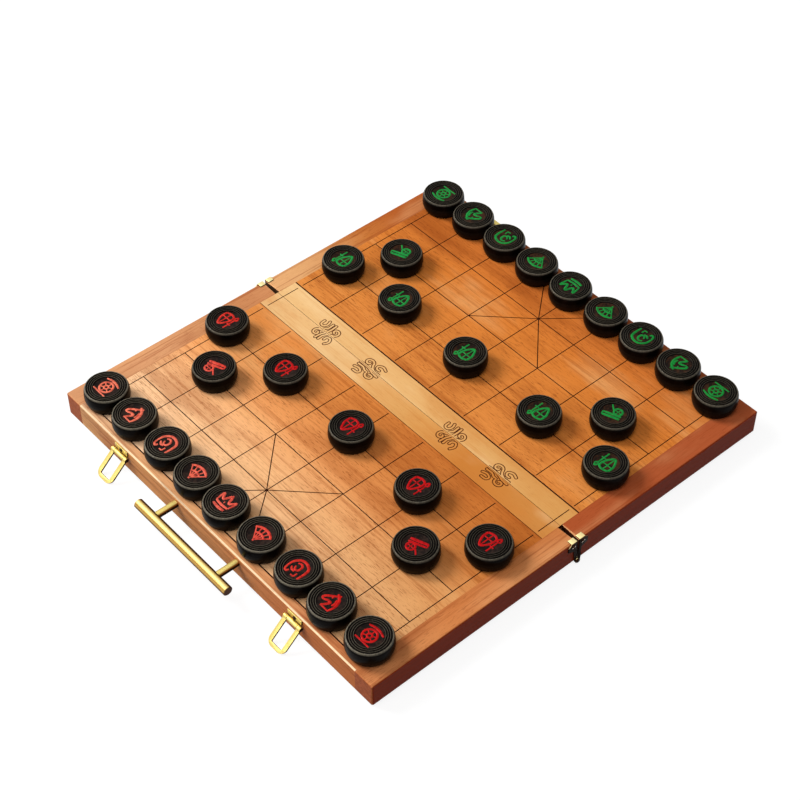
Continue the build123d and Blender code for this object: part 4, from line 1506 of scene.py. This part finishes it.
# ------------------------------------------------------------------------------------ board
@dataclass
class Board:
    """The wooden case: rails, playing panels, river strips and feet."""

    foot_edge: float = 0.5
    segments: int = 48
    woods: tuple[tuple[str, str], ...] = (
        ("playing_panel", "{side}_field"),
        ("river_strip", "{side}_river"),
        ("front_rail", "front_rail"),
        ("back_rail", "back_rail"),
        ("end_rail", "{side}_end_rail"),
        ("spine_rail", "spine"),
    )

    def build(self, finishes: Finishes) -> None:
        """Dresses the case's own nodes and turns its feet.

        Args:
            finishes: the box's materials by their short names.
        """
        lathe = Turning(segments=self.segments)
        for side in SIDES:
            for part, wood in self.woods:
                dressed(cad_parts[f"{side}_{part}"].data, finishes[wood.format(side=side)])
            self._feet(side, lathe, finishes)
            LOG.info("%s half dressed", side)

    def _feet(self, side: str, lathe: Turning, finishes: Finishes) -> None:
        """Turns the feet of one half, rounded where they meet the table.

        Args:
            side: which half.
            lathe: what turns them.
            finishes: the box's materials by their short names.
        """
        node = f"{side}_feet"
        radius, tall, places = rods(node, 2)
        edge = self.foot_edge
        rounded = arc((radius - edge, edge), edge, -90, 0, 3)
        outline = [(0.0, 0.0), *rounded, (radius, tall), (0.0, tall)]
        mesh = lathe.run(node + "_turned", outline, places, finishes["foot"])
        stand_in(mesh, node, f"{side}_tray")


def band(path: Path, width: float) -> Path:
    """The closed outline of a round-ended band along a path.

    Args:
        path: the middle line, in millimetres.
        width: from edge to edge.

    Returns:
        The outline's points, once round.
    """
    left, right = [], []
    for i, (x, y) in enumerate(path):
        before, after = path[max(i - 1, 0)], path[min(i + 1, len(path) - 1)]
        way = math.atan2(after[1] - before[1], after[0] - before[0])
        dx, dy = -math.sin(way) * width / 2, math.cos(way) * width / 2
        left.append((x + dx, y + dy))
        right.append((x - dx, y - dy))

    def cap(end: Point, inner: Point) -> Path:
        """Half a turn round one end, clockwise."""
        out = math.degrees(math.atan2(end[1] - inner[1], end[0] - inner[0]))
        return arc(end, width / 2, out + 90, out - 90, 6)[1:-1]

    return [*left, *cap(path[-1], path[-2]), *reversed(right), *cap(path[0], path[1])]


@dataclass
class RiverOutlines:
    """Four hollow cloud scrolls drawn along the river, each in two halves on either side of the seam."""

    places: tuple[Point, ...] = ((0.2, 103.3), (-1.0, 48.6), (-0.1, -46.8), (-0.7, -99.9))
    clear: float = 1.0
    scale: float = 0.82
    band_width: float = 2.3
    line: float = 0.8
    flatness: float = 0.16
    curl_turns: float = 0.95
    curl_closing: float = 0.72
    curl_steps: int = 40

    def _curl(self, middle: Point, start: float, radius: float) -> Path:
        """A curl that winds outwards, anticlockwise, and ends at a bearing in degrees.

        Args:
            middle: what it winds about.
            start: the bearing of its outer end.
            radius: how far from the middle that end is.

        Returns:
            The curl's points.
        """
        curl = []
        for i in range(self.curl_steps, -1, -1):
            share = i / self.curl_steps
            x, y = polar(radius * (1 - self.curl_closing * share), start - 360 * self.curl_turns * share)
            curl.append((middle[0] + x, middle[1] + y))
        return curl

    def scroll(self, number: int) -> list[Path]:
        """The bands of one scroll about its own middle, X to the green half and Y along the river.

        Args:
            number: the scroll's place along the river. Odd ones lie turned.

        Returns:
            The middle line of each band.
        """
        clouds = [
            [*self._curl((6.2, 7.2), 180, 5.2), (-1.5, 3.6), (-6.0, 1.4), (-11.6, 1.8)],
            [(-12.2, 11.4), (-7.4, 13.2), (-3.2, 10.4), (-4.6, 6.6), (-8.0, 6.4)],
            [*self._curl((-6.6, -6.4), 20, 5.0), (1.6, -4.6), (5.6, -2.2), (11.8, -2.6)],
            [(12.2, -8.2), (7.6, -6.6), (3.4, -8.8), (4.4, -12.6), (9.4, -13.2)],
            [(-12.4, -1.8), (-6.2, -1.4), (-0.4, 0.6), (5.4, 1.4), (12.6, 1.0)],
        ]
        if number % 2:
            return [smoothed([(y * 0.9, x * 1.06) for x, y in path], 3) for path in clouds]
        return [smoothed([(x, -y) for x, y in path], 3) for path in clouds]

    def build(self, finishes: Finishes) -> None:
        """Draws the scrolls and cuts them apart at the seam.

        Args:
            finishes: the box's materials by their short names.
        """
        loops = []
        for number, (shift, along) in enumerate(self.places):
            for path in self.scroll(number):
                outline = band(scaled(path, self.scale), self.band_width)
                loops.append([(x + shift, y + along) for x, y in outline])
        widths = [[self.line] * len(loop) for loop in loops]
        whole = beads("river_lines", loops, widths, self.flatness, closed=True)
        for side, hand in zip(SIDES, (-1, 1)):
            self._half(whole, side, hand, finishes)
        bpy.data.meshes.remove(whole)

    def _half(self, whole: bpy.types.Mesh, side: str, hand: int, finishes: Finishes) -> None:
        """Keeps one side's share of the lines and lays it on that side's river strip.

        Args:
            whole: all the lines, drawn about the seam.
            side: which half.
            hand: -1 for the half towards -X, 1 for the other.
            finishes: the box's materials by their short names.
        """
        mesh = whole.copy()
        mesh.name = f"{side}_river_lines"
        with edited(mesh) as work:
            bmesh.ops.bisect_plane(
                work, geom=[*work.verts, *work.edges, *work.faces], dist=1e-7,
                plane_co=(hand * self.clear * MM, 0, 0), plane_no=(-hand, 0, 0), clear_outer=True,
            )
            bmesh.ops.holes_fill(work, edges=[line for line in work.edges if line.is_boundary], sides=0)
            bmesh.ops.recalc_face_normals(work, faces=work.faces)
        top = box_mm(f"{side}_river_strip")[1].z
        mesh.transform(Matrix.Translation(Vector((SEAM_X, 0.0, top)) * MM))
        dressed(mesh, finishes["stain"])
        shade(mesh, 50)
        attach(new_piece(mesh.name, mesh), f"{side}_tray")
        LOG.info("%s: %d faces", mesh.name, len(mesh.polygons))


# ------------------------------------------------------------------------------------ brass
@dataclass
class Handle:
    """The round bar and its two posts."""

    segments: int = 64
    bar_edge: float = 0.35
    post_edge: float = 0.2

    def build(self, finishes: Finishes) -> None:
        """Turns the bar and the posts and dresses their hidden screws.

        Args:
            finishes: the box's materials by their short names.
        """
        lathe = Turning(segments=self.segments)
        for node, axis, way, edge, finish in (
            ("handle_bar", 1, (0, 1, 0), self.bar_edge, "bar_brass"),
            ("handle_posts", 0, (1, 0, 0), self.post_edge, "brass"),
        ):
            radius, length, feet = rods(node, axis)
            outline = rod_outline(radius, length, edge, radius - edge)
            mesh = lathe.run(node + "_turned", outline, feet, finishes[finish], [aim(way)] * len(feet))
            stand_in(mesh, node, "red_tray")
        dressed(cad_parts["handle_screws"].data, finishes["plain_brass"])


@dataclass(frozen=True)
class Seat:
    """The line of a fixing: its inner end, its direction outwards, its length and its radius."""

    inner: Vector
    way: Vector
    length: float
    radius: float

    @classmethod
    def of(cls, box: Box, axis: int) -> "Seat":
        """The line of the solid in a box, along an axis and away from the case's middle.

        Args:
            box: the solid's lowest and highest corner, in millimetres.
            axis: 0, 1 or 2 for X, Y or Z.

        Returns:
            The seat.
        """
        low, high = box
        middle = (low + high) / 2
        outward = middle[axis] > 0
        way = Vector((0, 0, 0))
        way[axis] = 1.0 if outward else -1.0
        middle[axis] = (low if outward else high)[axis]
        across = [high[i] - low[i] for i in range(3) if i != axis]
        return cls(middle, way, high[axis] - low[axis], max(across) / 2)


@dataclass
class Fixings:
    """Slotted screws, hinge rivets and latch pins, each on the line of its CAD solid."""

    segments: int = 32
    head_height: float = 0.8
    shank_radius: float = 0.8
    slot_width: float = 0.95
    slot_depth: float = 0.3
    slot_tilt: float = 20.0
    rivet_shank: float = 1.2
    rivet_head: float = 1.0
    pin_edge: float = 0.25
    pin_flat: float = 0.7

    def build(self, finishes: Finishes) -> None:
        """Turns every fixing.

        Args:
            finishes: the box's materials by their short names.
        """
        slotted = Turning(segments=self.segments, slotted=True)
        plain = Turning(segments=self.segments)
        for side in SIDES:
            node = f"{side}_face_screws"
            rows = {"front": [], "end": []}
            for box in islands(node):
                size = box[1] - box[0]
                rows["front" if size.y > size.x else "end"].append(box)
            pieces = [self._screws(f"{node}_{row}", boxes, slotted, finishes) for row, boxes in rows.items()]
            for piece in pieces:
                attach(piece, f"{side}_tray")
            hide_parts(node)
        self._rivets(plain, finishes)
        self._pins(plain, finishes)

    def _screws(self, name: str, boxes: list[Box], lathe: Turning, finishes: Finishes) -> bpy.types.Object:
        """One row of equal screws, those on the front and back with tilted slots whose floors carry a
        painted glint.

        Args:
            name: the piece's name, which ends in the row's.
            boxes: the row's solids.
            lathe: one that saws slots.
            finishes: the box's materials by their short names.

        Returns:
            The piece.
        """
        sideways = name.endswith("front")
        seats = [Seat.of(box, 1 if sideways else 0) for box in boxes]
        length, head = seats[0].length, seats[0].radius
        under = length - self.head_height
        shank = self.shank_radius
        outline = [
            (0.0, 0.0), (shank * 0.7, 0.0), (shank, 0.4), (shank, under), (head, under),
            (head, under + 0.25), (head * 0.86, under + 0.55), (head * 0.5, length - 0.06), (0.0, length),
        ]
        slot = (head * 2.4, self.slot_width, self.slot_depth * 2, length)
        # Front, back and red-half screws take the brass with painted shade all over.
        finish = finishes["shade_dark_brass" if sideways or "red" in name else "plain_brass"]
        turns = [aim(seat.way, self.slot_tilt if sideways else 0.0) for seat in seats]
        mesh = lathe.run(name, outline, [seat.inner for seat in seats], finish, turns, slot, 50)
        if sideways:
            # Painted highlight: the slot floors take the near-white glint.
            mesh.materials.append(finishes["slot_glint"])
            floor = length - self.slot_depth + 0.06
            for face in mesh.polygons:
                centre = face.center / MM
                seat = min(seats, key=lambda seat: (centre - seat.inner).length)
                deep = (centre - seat.inner).dot(seat.way)
                if face.normal.dot(seat.way) > 0.9 and under + 0.2 < deep < floor:
                    face.material_index = 1
        return new_piece(name, mesh)

    def _rivets(self, lathe: Turning, finishes: Finishes) -> None:
        """The two domed rivets on which the halves fold.

        Args:
            lathe: what turns them.
            finishes: the box's materials by their short names.
        """
        node = "hinge_rivets"
        seats = [Seat.of(box, 1) for box in islands(node)]
        length, head = seats[0].length, seats[0].radius
        under = length - self.rivet_head
        shank = self.rivet_shank
        outline = [
            (0.0, 0.0), (shank, 0.0), (shank, under), (head, under), (head, under + 0.15),
            (head * 0.9, under + 0.5), (head * 0.62, length - 0.14), (head * 0.3, length - 0.02),
            (0.0, length),
        ]
        turns = [aim(seat.way) for seat in seats]
        inner = [seat.inner for seat in seats]
        mesh = lathe.run(node + "_turned", outline, inner, finishes["shade_dark_brass"], turns, crease=50)
        stand_in(mesh, node, "red_tray")

    def _pins(self, lathe: Turning, finishes: Finishes) -> None:
        """The pins on which the bails swing.

        Args:
            lathe: what turns them.
            finishes: the box's materials by their short names.
        """
        node = "latch_pins"
        radius, length, feet = rods(node, 1)
        outline = rod_outline(radius, length, self.pin_edge, radius * self.pin_flat)
        turns = [aim((0, 1, 0))] * len(feet)
        mesh = lathe.run(node + "_turned", outline, feet, finishes["shade_dark_brass"], turns)
        stand_in(mesh, node, "red_tray")


@dataclass
class Brassware:
    """All the brass: handle, fixings, and the sheet parts with eased edges."""

    ease: float = 0.1
    sheets: tuple[tuple[str, str, str], ...] = (
        ("red_hinge_straps", "red_tray", "strap_brass"),
        ("green_hinge_straps", "green_tray", "strap_brass"),
        ("latch_plates", "red_tray", "brass"),
        ("catches", "green_tray", "plain_brass"),
        ("front_bail", "front_latch_bail", "bail_brass"),
        ("back_bail", "back_latch_bail", "bail_brass"),
    )

    def build(self, finishes: Finishes) -> None:
        """Makes the brass pieces.

        Args:
            finishes: the box's materials by their short names.
        """
        Handle().build(finishes)
        Fixings().build(finishes)
        for node, body, finish in self.sheets:
            piece = softened(node, self.ease, finishes[finish])
            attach(piece, body)
            LOG.info("%s eased: %d faces", node, len(piece.data.polygons))


# ------------------------------------------------------------------------------------ studio
@dataclass(frozen=True)
class Lamp:
    """A soft square lamp that faces the box, from a bearing and a height in degrees."""

    name: str
    bearing: float
    height: float
    distance: float
    size: float
    power: float
    colour: Colour = (1.0, 1.0, 1.0)

    def build(self) -> None:
        """Hangs the lamp."""
        data = bpy.data.lights.new(self.name, "AREA")
        data.shape = "SQUARE"
        data.size = self.size
        data.energy = self.power
        data.color = self.colour
        lamp = new_piece(self.name, data)
        way = heading(self.bearing, self.height)
        lamp.location = way * self.distance
        lamp.rotation_euler = aim(way)


@dataclass
class Studio:
    """Camera, lamps, floor and world."""

    target: tuple[float, float, float] = (0.00475, 0.0070, 0.024)
    distance: float = 1.4219
    azimuth: float = 41.04
    elevation: float = 46.17
    lens: float = 82.5
    sensor: float = 36.0
    lamps: tuple[Lamp, ...] = (
        Lamp("key", 121.0, 46.0, 2.9, 1.1, 62.0, (1.0, 0.985, 0.96)),
        Lamp("window", 105.0, 22.0, 2.6, 0.8, 6.5),
        Lamp("side", 172.0, 28.0, 2.6, 0.9, 12.0),
        Lamp("overhead", 228.0, 76.0, 2.6, 1.0, 14.5),
    )
    white: Colour = (1.0, 1.0, 1.0)
    world_strength: float = 0.26
    floor_glow: float = 0.86
    floor_tone: Colour = (0.2, 0.2, 0.2)
    floor_reach: float = 12000.0

    def build(self) -> None:
        """Sets up the whole studio."""
        self._camera()
        for lamp in self.lamps:
            lamp.build()
        self._world()
        self._floor()
        bpy.context.scene.view_settings.view_transform = "Standard"
        LOG.info("studio ready")

    def _camera(self) -> None:
        """Makes the camera, which stands off the front left corner."""
        back = heading(270.0 - self.azimuth, self.elevation)
        data = bpy.data.cameras.new("camera")
        data.lens = self.lens
        data.sensor_width = self.sensor
        data.clip_end = 30.0
        camera = new_piece("camera", data)
        camera.location = Vector(self.target) + back * self.distance
        camera.rotation_euler = aim(back)
        bpy.context.scene.camera = camera

    def _seen(self, graph: Graph) -> Value:
        """1 for rays that show the background: from the camera, off gloss or through glass.

        Args:
            graph: the graph of the world or of the floor.

        Returns:
            1 or 0.
        """
        outputs = graph.node("ShaderNodeLightPath").outputs
        rays = ("Is Camera Ray", "Is Glossy Ray", "Is Transmission Ray")
        camera, gloss, glass = (Value(graph, outputs[ray]) for ray in rays)
        return graph.maths("MINIMUM", camera + gloss + glass, 1.0)

    def _world(self) -> None:
        """Lights the scene softly from all round and shows white behind it."""
        world = bpy.data.worlds.new("studio")
        world.use_nodes = True
        bpy.context.scene.world = world
        graph = Graph(world.node_tree)
        strength = self._seen(graph) * (1.0 - self.world_strength) + self.world_strength
        shader = graph.value("ShaderNodeBackground", {"Color": self.white, "Strength": strength})
        graph.node("ShaderNodeOutputWorld", {"Surface": shader})

    def _floor(self) -> None:
        """Lays the white floor, which takes only a faint shadow and gives little light back."""
        reach = self.floor_reach
        corners = [(-reach, -reach, 0), (reach, -reach, 0), (reach, reach, 0), (-reach, reach, 0)]
        mesh = mesh_from("floor", corners, faces=[(0, 1, 2, 3)])
        material, graph = new_material("floor_paper")
        plain = graph.value("ShaderNodeBsdfDiffuse", {"Color": self.floor_tone})
        strength = self._seen(graph) * self.floor_glow
        glow = graph.value("ShaderNodeEmission", {"Color": self.white, "Strength": strength})
        both = graph.value("ShaderNodeAddShader", {0: plain, 1: glow})
        graph.node("ShaderNodeOutputMaterial", {"Surface": both})
        dressed(mesh, material)
        new_piece("floor", mesh)


def main() -> None:
    """Builds the whole scene."""
    logging.basicConfig(level=logging.INFO, format="%(message)s")
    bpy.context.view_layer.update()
    finishes = {short: finish.build() for short, finish in (case_woods() | other_finishes()).items()}
    LOG.info("finishes: %d", len(finishes))
    for part in (Board(), Men(), RiverOutlines(), Brassware()):
        part.build(finishes)
    Studio().build()


if __name__ == "__main__":
    main()
